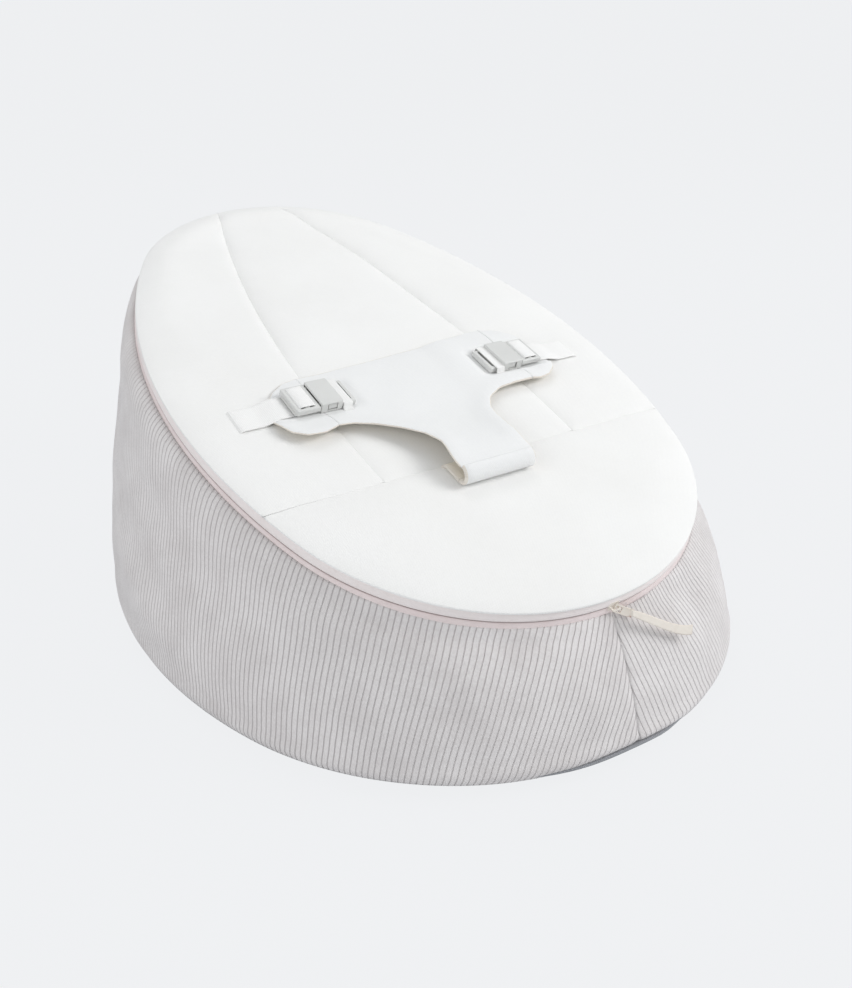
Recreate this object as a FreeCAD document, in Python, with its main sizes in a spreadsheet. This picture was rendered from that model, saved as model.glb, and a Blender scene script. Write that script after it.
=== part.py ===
import FreeCAD, Part
import Sketcher
import math
import os
import re

from FreeCAD import Placement, Rotation, Vector

# A baby bean bag seat: an egg-shaped bag of corduroy on a dark base, filled with beads, whose padded
# white top is zipped on round a sloping rim and carries a T-shaped harness with two side buckles.
# The foot end, with the zip slider, faces -Y. The origin is on the floor under the middle of the bag.

doc = FreeCAD.newDocument("baby_bean_bag_seat")

# Driving dimensions in millimetres, with angles in degrees
SIZES = {
    # The rim is the line of the zip, an egg of four arcs on a sheet that slopes down to the foot
    "rim_half_length": 370,
    "rim_half_width": 250,
    "rim_foot_round_share": 0.92,
    "rim_head_round_share": 0.80,
    "rim_slope_angle": 16,
    "rim_middle_height": 227,
    # The base outline is a wider egg on the floor
    "base_half_length": 375,
    "base_half_width": 300,
    "base_foot_round_share": 0.96,
    "base_head_round_share": 0.76,
    "base_back_shift": -20,
    "base_edge_height": 13,
    "base_roll_width": 24,
    "base_thickness": 2.5,
    # The corduroy wall, its fullness half way up, and how far its top edge stands out over the zip
    "wall_thickness": 3,
    "wall_fullness": 13,
    "wall_head_fullness": 5,
    "wall_lip": 3,
    "seam_gap": 0.3,
    # The inner bag and its beads
    "bag_thickness": 1,
    "bag_clearance": 1.2,
    "bag_shoulder": 4,
    "layer_gap": 0.3,
    # The zip: two tapes with a row of coil on the back of each
    "tape_visible_width": 6.6,
    "tape_hidden_width": 2.2,
    "tape_thickness": 1,
    "coil_width": 1.5,
    "coil_thickness": 1.6,
    "zip_middle_gap": 0.9,
    # The zipped-on top: padded cover over a pad
    "crown_height": 16,
    "crown_roll_width": 36,
    "cover_thickness": 4,
    "cover_lip": 2.6,
    "pad_thickness": 14,
    # Seams of the cover
    "side_seam_half_width": 113,
    "side_seam_widest_place": -100,
    "side_seam_radius": 1550,
    "cross_seam_place": -177,
    "channel_half_width": 2.2,
    "channel_depth": 1.4,
    # The harness: crotch strap, fold and T-shaped panel with ear pads
    "harness_thickness": 4,
    "crotch_half_width": 45,
    "neck_half_width": 41,
    "neck_place": -167,
    "fold_place": -205,
    "fold_inner_radius": 6.5,
    "leg_curve_depth": 121,
    "leg_curve_share": 0.22,
    "panel_lower_place": -94,
    "panel_upper_place": -6,
    "panel_flat_place": -93,
    "shoulder_half_width": 128,
    "ear_reach": 163,
    "ear_drop": 10,
    "ear_split_place": 118,
    "slit_clearance": 0.5,
    # Buckles: sockets on the panel, plugs on the straps
    "buckle_place": -53,
    "buckle_width": 40,
    "mouth_place": 122,
    "socket_height": 11,
    "socket_body_length": 24,
    "socket_length": 40,
    "socket_wall": 2,
    "socket_rounding": 1.4,
    "tail_height": 6,
    "tail_slot_length": 5,
    "tail_bar": 4,
    "window_length": 11,
    "window_setback": 7,
    "keeper_width": 9,
    "keeper_thickness": 1.2,
    "keeper_foot": 5,
    "plug_length": 25.6,
    "plug_height": 6,
    "plug_bar": 4.8,
    "plug_middle_bar": 4.6,
    "plug_rail": 3.2,
    "latch_length": 17.5,
    "latch_width": 3.2,
    "latch_height": 5,
    "latch_barb": 3.4,
    "latch_barb_length": 9,
    "latch_inset": 5.8,
    "latch_root_gap": 0.4,
    "fit_gap": 0.4,
    # Straps of webbing from the side slits to the plugs
    "strap_width": 34,
    "strap_thickness": 1.8,
    "strap_slit_place": 203,
    "anchor_margin": 10,
    "anchor_thickness": 1.5,
    "patch_rounding": 4,
    # Zip slider and its pull
    "slider_length": 11,
    "slider_width": 9,
    "slider_plate": 1.6,
    "bail_length": 8,
    "bail_height": 5,
    "bail_wire": 1.2,
    "tongue_length": 20,
    "tongue_width": 7.4,
    "tongue_thickness": 1.3,
    "tongue_eye_length": 6.5,
    "tongue_rim": 1.1,
    "pull_length": 62,
    "pull_width": 10,
    "pull_thickness": 1.6,
    "tab_rounding": 1.5,
    "pull_droop_angle": 24,
    "pull_tuck_angle": 19.7,
    "pull_turn_angle": 13,
    # Overrun of every cutting tool past what it cuts
    "overrun": 5,
}

sheet = doc.addObject("Spreadsheet::Sheet", "Sizes")
for row, (alias, value) in enumerate(SIZES.items(), start=1):
    sheet.set(f"A{row}", alias)
    sheet.set(f"B{row}", str(value))
    sheet.setAlias(f"B{row}", alias)
doc.recompute()


def size(name):
    return float(sheet.get(name))


def bind(obj, **formulas):
    """Binds properties to formulas written in the names of the sheet."""
    for prop, formula in formulas.items():
        text = re.sub(r"[a-z_]+[a-z]", lambda name: "Sizes." + name.group(), str(formula))
        obj.setExpression(prop.replace("__", "."), text)


seat_frame = Placement(Vector(0, 0, size("rim_middle_height")),
                       Rotation(Vector(1, 0, 0), size("rim_slope_angle")))
parts = {}


def keep(label, obj, frame=None):
    """Names a finished sub-part after the real piece and sets it in its frame."""
    obj.Label = label
    if frame is not None:
        obj.Placement = frame
    parts[label] = obj
    return obj


def solid_feature(label, shape, frame=None):
    feature = doc.addObject("Part::Feature", label)
    feature.Shape = shape
    return keep(label, feature, frame)


# Blocks, cuts and mirrored pairs, bound to the sheet

def block(name, x, y, z, length, width, height):
    box = doc.addObject("Part::Box", name)
    bind(box, Length=length, Width=width, Height=height,
         Placement__Base__x=x, Placement__Base__y=y, Placement__Base__z=z)
    return box


def cut(name, base, tool):
    result = doc.addObject("Part::Cut", name)
    result.Base = base
    result.Tool = tool
    return result


def fuse(name, *pieces):
    result = doc.addObject("Part::MultiFuse", name)
    result.Shapes = list(pieces)
    result.Refine = True
    return result


def rounded(name, base, radius, edges):
    result = doc.addObject("Part::Fillet", name)
    result.Base = base
    doc.recompute()
    result.Edges = [(edge, size(radius), size(radius)) for edge in edges]
    return result


def pair(name, right):
    """Keeps the +X piece and its mirror image."""
    keep(f"{name}_right", right, seat_frame)
    left = doc.addObject("Part::Mirroring", f"{name}_left_mirror")
    left.Source = right
    left.Normal = Vector(1, 0, 0)
    keep(f"{name}_left", left)


ALL_BOX_EDGES = range(1, 13)
UPRIGHT_BOX_EDGES = (1, 3, 5, 7)


# Egg outlines

def egg(half_length, half_width, foot_share, head_share, inset, frame):
    """Closed egg of four tangent arcs, foot at -Y, drawn inset from its nominal size."""
    foot_radius = foot_share * half_width
    head_radius = head_share * half_width
    foot_y = foot_radius - half_length
    head_y = half_length - head_radius
    rise = (head_radius - foot_radius) / (head_y - foot_y)
    start = (foot_radius**2 - head_radius**2 + head_y**2 - foot_y**2) / (2 * (head_y - foot_y))
    half_b = foot_radius - half_width + rise * (start - foot_y)
    term_c = half_width**2 + (start - foot_y)**2 - foot_radius**2
    side_radius = term_c / (math.sqrt(half_b**2 - rise**2 * term_c) - half_b)
    side = Vector(half_width - side_radius, rise * side_radius + start)
    foot_join = side + (Vector(0, foot_y) - side).normalize() * (side_radius - inset)
    head_join = side + (Vector(0, head_y) - side).normalize() * (side_radius - inset)
    side_point = Vector(half_width - inset, side.y)

    def mirrored(point):
        return Vector(-point.x, point.y)

    arcs = [
        Part.Arc(mirrored(head_join), Vector(0, half_length - inset), head_join),
        Part.Arc(head_join, side_point, foot_join),
        Part.Arc(foot_join, Vector(0, inset - half_length), mirrored(foot_join)),
        Part.Arc(mirrored(foot_join), mirrored(side_point), mirrored(head_join)),
    ]
    wire = Part.Wire([arc.toShape() for arc in arcs])
    wire.Placement = frame
    return wire


def rim_egg(height, inset):
    """Outline parallel to the rim, in the seat's own frame."""
    return egg(size("rim_half_length"), size("rim_half_width"), size("rim_foot_round_share"),
               size("rim_head_round_share"), inset, Placement(Vector(0, 0, height), Rotation()))


def wall_egg(share, inset):
    """Outline of the wall between the base edge (share 0) and the rim (share 1)."""
    slope = math.atan(share * math.tan(math.radians(size("rim_slope_angle"))))
    rim_reach = size("rim_half_length") * math.cos(math.radians(size("rim_slope_angle")))
    reach = size("base_half_length") + share * (rim_reach - size("base_half_length"))
    half_width = size("base_half_width") + share * (size("rim_half_width") - size("base_half_width"))
    foot_share = size("base_foot_round_share")
    foot_share += share * (size("rim_foot_round_share") - foot_share)
    head_share = size("base_head_round_share")
    head_share += share * (size("rim_head_round_share") - head_share)
    swell = 4 * share * (1 - share)
    middle_y = (1 - share) * size("base_back_shift") + swell * size("wall_head_fullness")
    lift = size("base_edge_height") + share * (size("rim_middle_height") - size("base_edge_height"))
    frame = Placement(Vector(0, middle_y, lift), Rotation(Vector(1, 0, 0), math.degrees(slope)))
    return egg(reach / math.cos(slope), half_width, foot_share, head_share,
               inset - swell * size("wall_fullness"), frame)


def base_egg(height, inset):
    frame = Placement(Vector(0, size("base_back_shift"), height), Rotation())
    return egg(size("base_half_length"), size("base_half_width"), size("base_foot_round_share"),
               size("base_head_round_share"), inset, frame)


def placed(wire, frame):
    wire.Placement = frame * wire.Placement
    return wire


def loft(wires, ruled=False):
    return Part.makeLoft(wires, True, ruled)


WALL_SHARES = (0, 0.3, 0.62, 0.86)
ROLL_SHARE = 0.3


def wall_body(inset, floor_height, floor_inset, top_height, top_inset):
    """Solid inside the wall: a dish on the floor under a body that leans in to the zip."""
    edge = size("base_edge_height")
    roll_height = floor_height + (edge - floor_height) * ROLL_SHARE
    roll_inset = inset + (floor_inset - inset) * ROLL_SHARE
    dish = loft([base_egg(floor_height, floor_inset), base_egg(roll_height, roll_inset),
                 base_egg(edge, inset)])
    wires = [wall_egg(share, inset + share**2 * top_inset) for share in WALL_SHARES]
    wires.append(placed(rim_egg(top_height, top_inset), seat_frame))
    return dish.fuse(loft(wires)).removeSplitter()


# The bag

tape_top = size("zip_middle_gap") / 2
wall_top = -tape_top - size("tape_visible_width")
cover_foot = tape_top + size("tape_visible_width")
pad_foot = size("crown_height") - size("cover_thickness") - size("layer_gap") - size("pad_thickness")
chain_depth = size("layer_gap") + size("tape_thickness") + size("coil_thickness")
pad_inset = chain_depth + size("slider_plate") + 3 * size("fit_gap")


def half_space(side):
    """Block on one side of the bag's middle plane, clear of it by half the seam."""
    reach = 2 * size("base_half_length")
    start = size("seam_gap") / 2 if side > 0 else -size("seam_gap") / 2 - reach
    return Part.makeBox(reach, 2 * reach, 2 * reach, Vector(start, -reach, -reach))


def outer_wall():
    """Space inside the corduroy's outer face, from the base seam to the lip over the zip."""
    wires = [wall_egg(share, 0) for share in WALL_SHARES]
    wires.append(placed(rim_egg(wall_top, -size("wall_lip")), seat_frame))
    return loft(wires)


def make_skirt():
    inner = [wall_egg(share, size("wall_thickness")) for share in WALL_SHARES]
    inner.append(placed(rim_egg(wall_top, 0), seat_frame))
    shell = outer_wall().cut(loft(inner))
    solid_feature("skirt_left", shell.common(half_space(-1)))
    solid_feature("skirt_right", shell.common(half_space(1)))


def make_base():
    """Dished panel, flat where it rests, whose rolled edge meets the corduroy."""
    edge = size("base_edge_height") - size("seam_gap")
    roll = size("base_roll_width")
    thick = size("base_thickness")
    outer = loft([base_egg(0, roll), base_egg(edge * ROLL_SHARE, roll * ROLL_SHARE), base_egg(edge, 0)])
    inner = loft([base_egg(thick, roll + thick), base_egg(thick + (edge - thick) * ROLL_SHARE,
                  thick + roll * ROLL_SHARE), base_egg(edge, thick)])
    reach = size("base_half_length") + size("base_half_width")
    above_floor = Part.makeBox(2 * reach, 2 * reach, edge + thick, Vector(-reach, -reach, 0))
    solid_feature("base_panel", outer.cut(inner).common(above_floor))


def make_filling():
    gap = size("layer_gap")
    inset = size("wall_thickness") + size("bag_clearance")
    floor = size("base_thickness") + gap
    floor_inset = size("base_roll_width") + inset
    top = pad_foot - gap
    top_inset = pad_inset + size("bag_shoulder")
    thick = size("bag_thickness")
    bag = wall_body(inset, floor, floor_inset, top, top_inset)
    hollow = wall_body(inset + thick, floor + thick, floor_inset + thick, top - thick, top_inset + thick)
    beads = wall_body(inset + thick + gap, floor + thick + gap, floor_inset + thick + gap,
                      top - thick - gap, top_inset + thick + gap)
    solid_feature("bead_bag", bag.cut(hollow))
    solid_feature("bead_filling", beads)


# The zip round the rim

def rim_band(low, high, inset, thickness):
    outer = loft([rim_egg(low, inset), rim_egg(high, inset)], True)
    inner = loft([rim_egg(low, inset + thickness), rim_egg(high, inset + thickness)], True)
    return outer.cut(inner)


def make_zip():
    gap = size("layer_gap")
    reach = tape_top + size("tape_visible_width") + size("tape_hidden_width")
    upper_reach = tape_top + size("tape_visible_width") + size("tape_hidden_width") / 3
    thick = size("tape_thickness")
    coil_end = tape_top + size("coil_width")
    coil_inset = gap + thick
    solid_feature("lower_zip_tape", rim_band(-reach, -tape_top, gap, thick), seat_frame)
    solid_feature("upper_zip_tape", rim_band(tape_top, upper_reach, gap, thick), seat_frame)
    solid_feature("lower_zip_coil", rim_band(-coil_end, -tape_top, coil_inset, size("coil_thickness")),
                  seat_frame)
    solid_feature("upper_zip_coil", rim_band(tape_top, coil_end, coil_inset, size("coil_thickness")),
                  seat_frame)


# The zipped-on top

# Height and inset shares of the outlines that round the cover's edge, and of those under it
CROWN_SHARES = ((0, 0), (0.35, 0.013), (0.72, 0.18), (0.92, 0.46), (1, 1))
UNDERSIDE_SHARES = ((0, 0), (0.3, 0.25), (1, 0.72))


def crown_body():
    """Rounded edge and level top of the cover."""
    rise = size("crown_height") - cover_foot
    run = size("crown_roll_width") + size("cover_lip")
    return loft([rim_egg(cover_foot + high * rise, inward * run - size("cover_lip"))
                 for high, inward in CROWN_SHARES])


def under_crown(foot, step, top, inset):
    """Upright edge from foot to step, then a slope in to the level top."""
    run = size("crown_roll_width")
    wires = [rim_egg(foot, inset)]
    wires += [rim_egg(step + high * (top - step), inset + inward * run) for high, inward in UNDERSIDE_SHARES]
    return loft(wires, True)


def side_seam_disc(side, spread, low, high):
    """Tall disc whose edge is one long seam of the cover; spread widens it."""
    radius = size("side_seam_radius")
    middle = Vector(side * (size("side_seam_half_width") - radius), size("side_seam_widest_place"), low)
    return Part.makeCylinder(radius + spread, high - low, middle)


def side_seam_channel(side):
    """Sewn channel along one long seam, a V turned about the middle of the seam's arc."""
    radius = size("side_seam_radius")
    top = size("crown_height")
    half = size("channel_half_width")
    middle = Vector(side * (size("side_seam_half_width") - radius), size("side_seam_widest_place"))
    above = top + size("overrun")
    points = [Vector(radius - half, 0, top), Vector(radius, 0, top - size("channel_depth")),
              Vector(radius + half, 0, top), Vector(radius + half, 0, above),
              Vector(radius - half, 0, above)]
    face = Part.Face(Part.makePolygon([middle + point for point in points + points[:1]]))
    return face.revolve(middle, Vector(0, 0, 1), 360)


def cross_seam_channel():
    top = size("crown_height")
    half = size("channel_half_width")
    place = size("cross_seam_place")
    reach = size("rim_half_width") + size("overrun")
    above = top + size("overrun")
    points = [Vector(-reach, place - half, top), Vector(-reach, place, top - size("channel_depth")),
              Vector(-reach, place + half, top), Vector(-reach, place + half, above),
              Vector(-reach, place - half, above)]
    return Part.Face(Part.makePolygon(points + points[:1])).extrude(Vector(2 * reach, 0, 0))


def strap_slit():
    """Cut for one side strap, on the +X side."""
    clear = size("slit_clearance")
    thick = size("strap_thickness") + 2 * clear
    width = size("strap_width") + 2 * clear
    corner = Vector(size("strap_slit_place") - clear, size("buckle_place") - width / 2, 0)
    return Part.makeBox(thick, width, size("crown_height") + size("overrun"), corner)


def crotch_slit():
    clear = size("slit_clearance")
    width = 2 * (size("crotch_half_width") + clear)
    thick = size("harness_thickness") + 2 * clear
    corner = Vector(-width / 2, size("cross_seam_place") - thick / 2, 0)
    return Part.makeBox(width, thick, size("crown_height") + size("overrun"), corner)


def make_cover():
    low = cover_foot - size("overrun")
    high = size("crown_height") + size("overrun")
    half_gap = size("seam_gap") / 2
    reach = 2 * size("rim_half_length")
    step = cover_foot + size("tape_hidden_width") / 3 + size("layer_gap")
    hollow = under_crown(low, step, size("crown_height") - size("cover_thickness"), 0)
    shell = crown_body().cut(hollow)
    shell = shell.cut(cross_seam_channel()).cut(crotch_slit())
    slit = strap_slit()
    shell = shell.cut(slit).cut(slit.mirror(Vector(), Vector(1, 0, 0)))
    front = Part.makeBox(2 * reach, reach, high - low,
                         Vector(-reach, size("cross_seam_place") - half_gap - reach, low))
    back = Part.makeBox(2 * reach, 2 * reach, high - low,
                        Vector(-reach, size("cross_seam_place") + half_gap, low))
    back_shell = shell.common(back).cut(side_seam_channel(-1)).cut(side_seam_channel(1))
    inside = side_seam_disc(1, -half_gap, low, high).common(side_seam_disc(-1, -half_gap, low, high))
    solid_feature("front_cover", shell.common(front), seat_frame)
    solid_feature("back_cover", back_shell.common(inside), seat_frame)
    for side, label in ((-1, "side_cover_left"), (1, "side_cover_right")):
        outside = back_shell.cut(side_seam_disc(side, half_gap, low, high))
        beside = Part.makeBox(reach, 2 * reach, high - low, Vector(0 if side > 0 else -reach, -reach, low))
        solid_feature(label, outside.common(beside), seat_frame)


def make_anchors():
    """Patches sewn under the strap slits and the crotch slit, with rounded corners."""
    low = "(crown_height - cover_thickness - layer_gap - anchor_thickness)"
    side = block("anchor_block", "strap_slit_place - anchor_margin",
                 "buckle_place - strap_width / 2 - anchor_margin", low,
                 "strap_thickness + 2 * anchor_margin", "strap_width + 2 * anchor_margin",
                 "anchor_thickness")
    pair("strap_anchor", rounded("anchor_round", side, "patch_rounding", UPRIGHT_BOX_EDGES))
    crotch = block("crotch_block", "0 - crotch_half_width - anchor_margin",
                   "cross_seam_place - harness_thickness / 2 - anchor_margin", low,
                   "2 * (crotch_half_width + anchor_margin)", "harness_thickness + 2 * anchor_margin",
                   "anchor_thickness")
    keep("crotch_anchor", rounded("crotch_round", crotch, "patch_rounding", UPRIGHT_BOX_EDGES), seat_frame)
    doc.recompute()
    return [side.Shape, side.Shape.mirror(Vector(), Vector(1, 0, 0)), crotch.Shape]


def make_pad(patches):
    """Soft pad under the cover, with recesses for the patches."""
    top = size("crown_height") - size("cover_thickness") - size("layer_gap")
    pad = under_crown(pad_foot, cover_foot, top, pad_inset)
    for patch in patches:
        room = patch.BoundBox
        room.enlarge(size("layer_gap"))
        corner = Vector(room.XMin, room.YMin, room.ZMin)
        pad = pad.cut(Part.makeBox(room.XLength, room.YLength, room.ZLength, corner))
    solid_feature("seat_padding", pad, seat_frame)


# The harness

seat_top = size("crown_height") + size("layer_gap")


def side_face(points):
    """Closed face in the seat's YZ plane from straight runs and three-point arcs."""
    edges = []
    for run in points:
        if len(run) == 2:
            edges.append(Part.LineSegment(*run).toShape())
        else:
            edges.append(Part.Arc(*run).toShape())
    return Part.Face(Part.Wire(edges))


def make_crotch_strap():
    """Padded strap that comes up through the slit and lies forward to the fold."""
    thick = size("harness_thickness")
    half = size("crotch_half_width")
    place = size("cross_seam_place")
    foot = size("crown_height") - size("cover_thickness")
    flat = Part.makeBox(2 * half, place + thick / 2 - size("fold_place"), thick,
                        Vector(-half, size("fold_place"), seat_top))
    rise = Part.makeBox(2 * half, thick, seat_top + thick - foot, Vector(-half, place - thick / 2, foot))
    solid_feature("crotch_strap", flat.fuse(rise).removeSplitter(), seat_frame)


def make_fold():
    """Half turn of the strap, from the seat up to the panel."""
    thick = size("harness_thickness")
    inner = size("fold_inner_radius")
    outer = inner + thick
    half = size("crotch_half_width")
    middle = Vector(-half, size("fold_place") - size("seam_gap"), seat_top + outer)
    ring = Part.makeCylinder(outer, 2 * half, middle, Vector(1, 0, 0))
    ring = ring.cut(Part.makeCylinder(inner, 2 * half, middle, Vector(1, 0, 0)))
    front = Part.makeBox(2 * half, outer, 2 * outer, middle - Vector(0, outer, outer))
    solid_feature("crotch_fold", ring.common(front), seat_frame)


def panel_sheet():
    """The panel seen from its side: level at the fold, an S down to the seat, and level again."""
    thick = size("harness_thickness")
    half = thick / 2
    start_y = size("fold_place")
    start_z = seat_top + 2 * size("fold_inner_radius") + thick + half
    end_y = size("panel_flat_place")
    end_z = seat_top + half
    run = end_y - start_y
    drop = start_z - end_z
    radius = (run**2 + drop**2) / (4 * drop)
    turn = math.asin(run / 2 / radius)
    low_middle = Vector(0, start_y, start_z - radius)
    high_middle = Vector(0, end_y, end_z + radius)

    def over(distance, share):
        """Point on the first arc, bending over, at a distance from its centre."""
        angle = share * turn
        return low_middle + Vector(0, distance * math.sin(angle), distance * math.cos(angle))

    def under(distance, share):
        """Point on the second arc, bending level, at a distance from its centre."""
        angle = (1 - share) * turn
        return high_middle + Vector(0, -distance * math.sin(angle), -distance * math.cos(angle))

    upper_end = Vector(0, size("panel_upper_place") + size("overrun"), end_z + half)
    lower_end = Vector(0, size("panel_upper_place") + size("overrun"), end_z - half)
    top = radius + half
    low = radius - half
    face = side_face([
        (over(top, 0), over(top, 0.5), over(top, 1)),
        (over(top, 1), under(low, 0.5), under(low, 1)),
        (under(low, 1), upper_end),
        (upper_end, lower_end),
        (lower_end, under(top, 1)),
        (under(top, 1), under(top, 0.5), over(low, 1)),
        (over(low, 1), over(low, 0.5), over(low, 0)),
        (over(low, 0), over(top, 0)),
    ])
    reach = size("ear_reach") + size("overrun")
    face.translate(Vector(-reach, 0, 0))
    return face.extrude(Vector(2 * reach, 0, 0))


def panel_outline():
    """Tall solid with the panel's outline: neck, leg curves, ear pads and straight upper edge."""
    fold = Vector(size("crotch_half_width"), size("fold_place"))
    neck = Vector(size("neck_half_width"), size("neck_place"))
    lower = size("panel_lower_place")
    upper = size("panel_upper_place")
    shoulder = size("shoulder_half_width")
    ear = size("ear_reach")
    leg_end = Vector((neck.x + shoulder) / 2 + size("ear_drop"), lower)
    leg_middle = Vector(neck.x + size("leg_curve_share") * (leg_end.x - neck.x), -size("leg_curve_depth"))
    ear_bottom = Vector((leg_end.x + ear) / 2, lower - size("ear_drop"))
    ear_corner = Vector(ear - size("ear_drop") / 2, (lower + size("buckle_place")) / 2 - size("ear_drop"))
    ear_side = Vector(ear, size("buckle_place"))
    ear_top = Vector((ear + shoulder) / 2, (size("buckle_place") + upper) / 2)
    corner = Vector(shoulder - size("ear_drop"), upper)

    def mirrored(point):
        return Vector(-point.x, point.y)

    right = [(fold, neck), (neck, leg_middle, leg_end), (leg_end, ear_bottom, ear_corner),
             (ear_corner, ear_side, ear_top), (ear_top, corner)]
    left = [tuple(mirrored(point) for point in reversed(run)) for run in reversed(right)]
    runs = right + [(corner, mirrored(corner))] + left + [(mirrored(fold), fold)]
    return side_face(runs).extrude(Vector(0, 0, 2 * size("rim_half_width")))


def make_panel():
    whole = panel_sheet().common(panel_outline())
    split = size("ear_split_place")
    reach = size("rim_half_width")
    tall = 2 * reach
    middle = Part.makeBox(2 * split, 2 * reach, tall, Vector(-split, -reach, 0))
    beyond = Part.makeBox(reach, 2 * reach, tall, Vector(split + size("seam_gap"), -reach, 0))
    solid_feature("harness_panel", whole.common(middle), seat_frame)
    solid_feature("ear_pad_right", whole.common(beyond), seat_frame)
    solid_feature("ear_pad_left", whole.common(beyond.mirror(Vector(), Vector(1, 0, 0))), seat_frame)


# The buckles, built on the +X side and mirrored

BUCKLE_LOW = "(crown_height + 2 * layer_gap + harness_thickness)"
BUCKLE_MIDDLE = f"({BUCKLE_LOW} + socket_height / 2)"
BUCKLE_SIDE = "(buckle_place - buckle_width / 2)"


def make_socket():
    """Moulded socket: hollow body with a window in each side, and a slotted tail plate."""
    body = block("socket_body", "mouth_place - socket_body_length", BUCKLE_SIDE, BUCKLE_LOW,
                 "socket_body_length", "buckle_width", "socket_height")
    body = rounded("socket_body_round", body, "socket_rounding", ALL_BOX_EDGES)
    tail = block("socket_tail", "mouth_place - socket_length", f"{BUCKLE_SIDE} + socket_wall", BUCKLE_LOW,
                 "socket_length - socket_body_length / 2", "buckle_width - 2 * socket_wall", "tail_height")
    tail = rounded("socket_tail_round", tail, "socket_rounding", ALL_BOX_EDGES)
    whole = fuse("socket_whole", body, tail)
    hollow = block("socket_hollow", "mouth_place - socket_body_length + socket_wall",
                   f"{BUCKLE_SIDE} + socket_wall", f"{BUCKLE_LOW} + socket_wall",
                   "socket_body_length + overrun", "buckle_width - 2 * socket_wall",
                   "socket_height - 2 * socket_wall")
    windows = block("socket_windows", "mouth_place - window_setback - window_length",
                    f"{BUCKLE_SIDE} - overrun", f"{BUCKLE_LOW} + socket_wall",
                    "window_length", "buckle_width + 2 * overrun", "socket_height - 2 * socket_wall")
    slot = block("socket_slot", "mouth_place - socket_length + tail_bar",
                 f"{BUCKLE_SIDE} + 3 * socket_wall", f"{BUCKLE_LOW} - overrun",
                 "tail_slot_length", "buckle_width - 6 * socket_wall", "tail_height + 2 * overrun")
    tools = fuse("socket_tools", hollow, windows, slot)
    pair("buckle_socket", cut("socket_cut", whole, tools))


def make_keeper():
    """Narrow tape sewn over the socket's tail plate, holding it on the panel."""
    gap = "layer_gap"
    start = "(mouth_place - socket_body_length - keeper_width - fit_gap)"
    side = f"({BUCKLE_SIDE} - keeper_thickness)"
    over = block("keeper_over", start, side, BUCKLE_LOW, "keeper_width",
                 "buckle_width + 2 * keeper_thickness", f"tail_height + {gap} + keeper_thickness")
    under = block("keeper_under", f"{start} - overrun", BUCKLE_SIDE, f"{BUCKLE_LOW} - overrun",
                  "keeper_width + 2 * overrun", "buckle_width", f"tail_height + {gap} + overrun")
    feet = block("keeper_feet", start, f"{side} - keeper_foot", BUCKLE_LOW, "keeper_width",
                 "buckle_width + 2 * keeper_thickness + 2 * keeper_foot", "keeper_thickness")
    pair("buckle_keeper", cut("keeper_cut", fuse("keeper_whole", over, feet), under))


PLUG_LOW = f"({BUCKLE_MIDDLE} - plug_height / 2)"
PLUG_START = "(mouth_place + fit_gap)"
SLOT_LENGTH = "((plug_length - 2 * plug_bar - plug_middle_bar) / 2)"


def make_plug():
    """Moulded plug frame with two slots for the strap round its middle bar."""
    frame = block("plug_block", PLUG_START, BUCKLE_SIDE, PLUG_LOW, "plug_length", "buckle_width",
                  "plug_height")
    frame = rounded("plug_round", frame, "socket_rounding", ALL_BOX_EDGES)
    inner = block("plug_inner_slot", f"{PLUG_START} + plug_bar", f"{BUCKLE_SIDE} + plug_rail",
                  f"{PLUG_LOW} - overrun", SLOT_LENGTH, "buckle_width - 2 * plug_rail",
                  "plug_height + 2 * overrun")
    outer = block("plug_outer_slot", f"{PLUG_START} + plug_bar + {SLOT_LENGTH} + plug_middle_bar",
                  f"{BUCKLE_SIDE} + plug_rail", f"{PLUG_LOW} - overrun", SLOT_LENGTH,
                  "buckle_width - 2 * plug_rail", "plug_height + 2 * overrun")
    pair("buckle_plug", cut("plug_cut", frame, fuse("plug_slots", inner, outer)))


def make_latch(name, side):
    """Springy arm of the plug with a barb that catches in the socket's window."""
    middle = f"(buckle_place + {side} * (buckle_width / 2 - latch_inset))"
    low = f"({BUCKLE_MIDDLE} - latch_height / 2)"
    end = f"({PLUG_START} - latch_root_gap)"
    arm = block(f"{name}_arm", f"{end} - latch_length", f"{middle} - latch_width / 2", low,
                "latch_length", "latch_width", "latch_height")
    barb_side = "latch_width / 2" if side > 0 else "(0 - latch_width / 2 - latch_barb)"
    barb = block(f"{name}_barb", f"{end} - latch_length", f"{middle} + {barb_side}", low,
                 "latch_barb_length", "latch_barb", "latch_height")
    pair(name, fuse(f"{name}_whole", arm, barb))


# Sketched plates

def add_rectangle(sketch, lengths, corner):
    """Rectangle in a sketch, its sides and its lower left corner bound to formulas."""
    points = [Vector(0, 0), Vector(1, 0), Vector(1, 1), Vector(0, 1)]
    for start, end in zip(points, points[1:] + points[:1]):
        sketch.addGeometry(Part.LineSegment(start, end), False)
    for side in range(4):
        sketch.addConstraint(Sketcher.Constraint("Coincident", side, 2, (side + 1) % 4, 1))
    for side, direction in enumerate(("Horizontal", "Vertical", "Horizontal", "Vertical")):
        sketch.addConstraint(Sketcher.Constraint(direction, side))
    sketch.addConstraint(Sketcher.Constraint("DistanceX", 0, 1, 0, 2, 1))
    sketch.addConstraint(Sketcher.Constraint("DistanceY", 1, 1, 1, 2, 1))
    sketch.addConstraint(Sketcher.Constraint("DistanceX", -1, 1, 0, 1, 1))
    sketch.addConstraint(Sketcher.Constraint("DistanceY", -1, 1, 0, 1, 1))
    first = sketch.ConstraintCount - 4
    for index, formula in enumerate((*lengths, *corner)):
        bind_constraint(sketch, first + index, formula)


def bind_constraint(sketch, index, formula):
    text = re.sub(r"[a-z_]+[a-z]", lambda name: "Sizes." + name.group(), formula)
    sketch.setExpression(f"Constraints[{index}]", text)


# The straps

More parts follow.
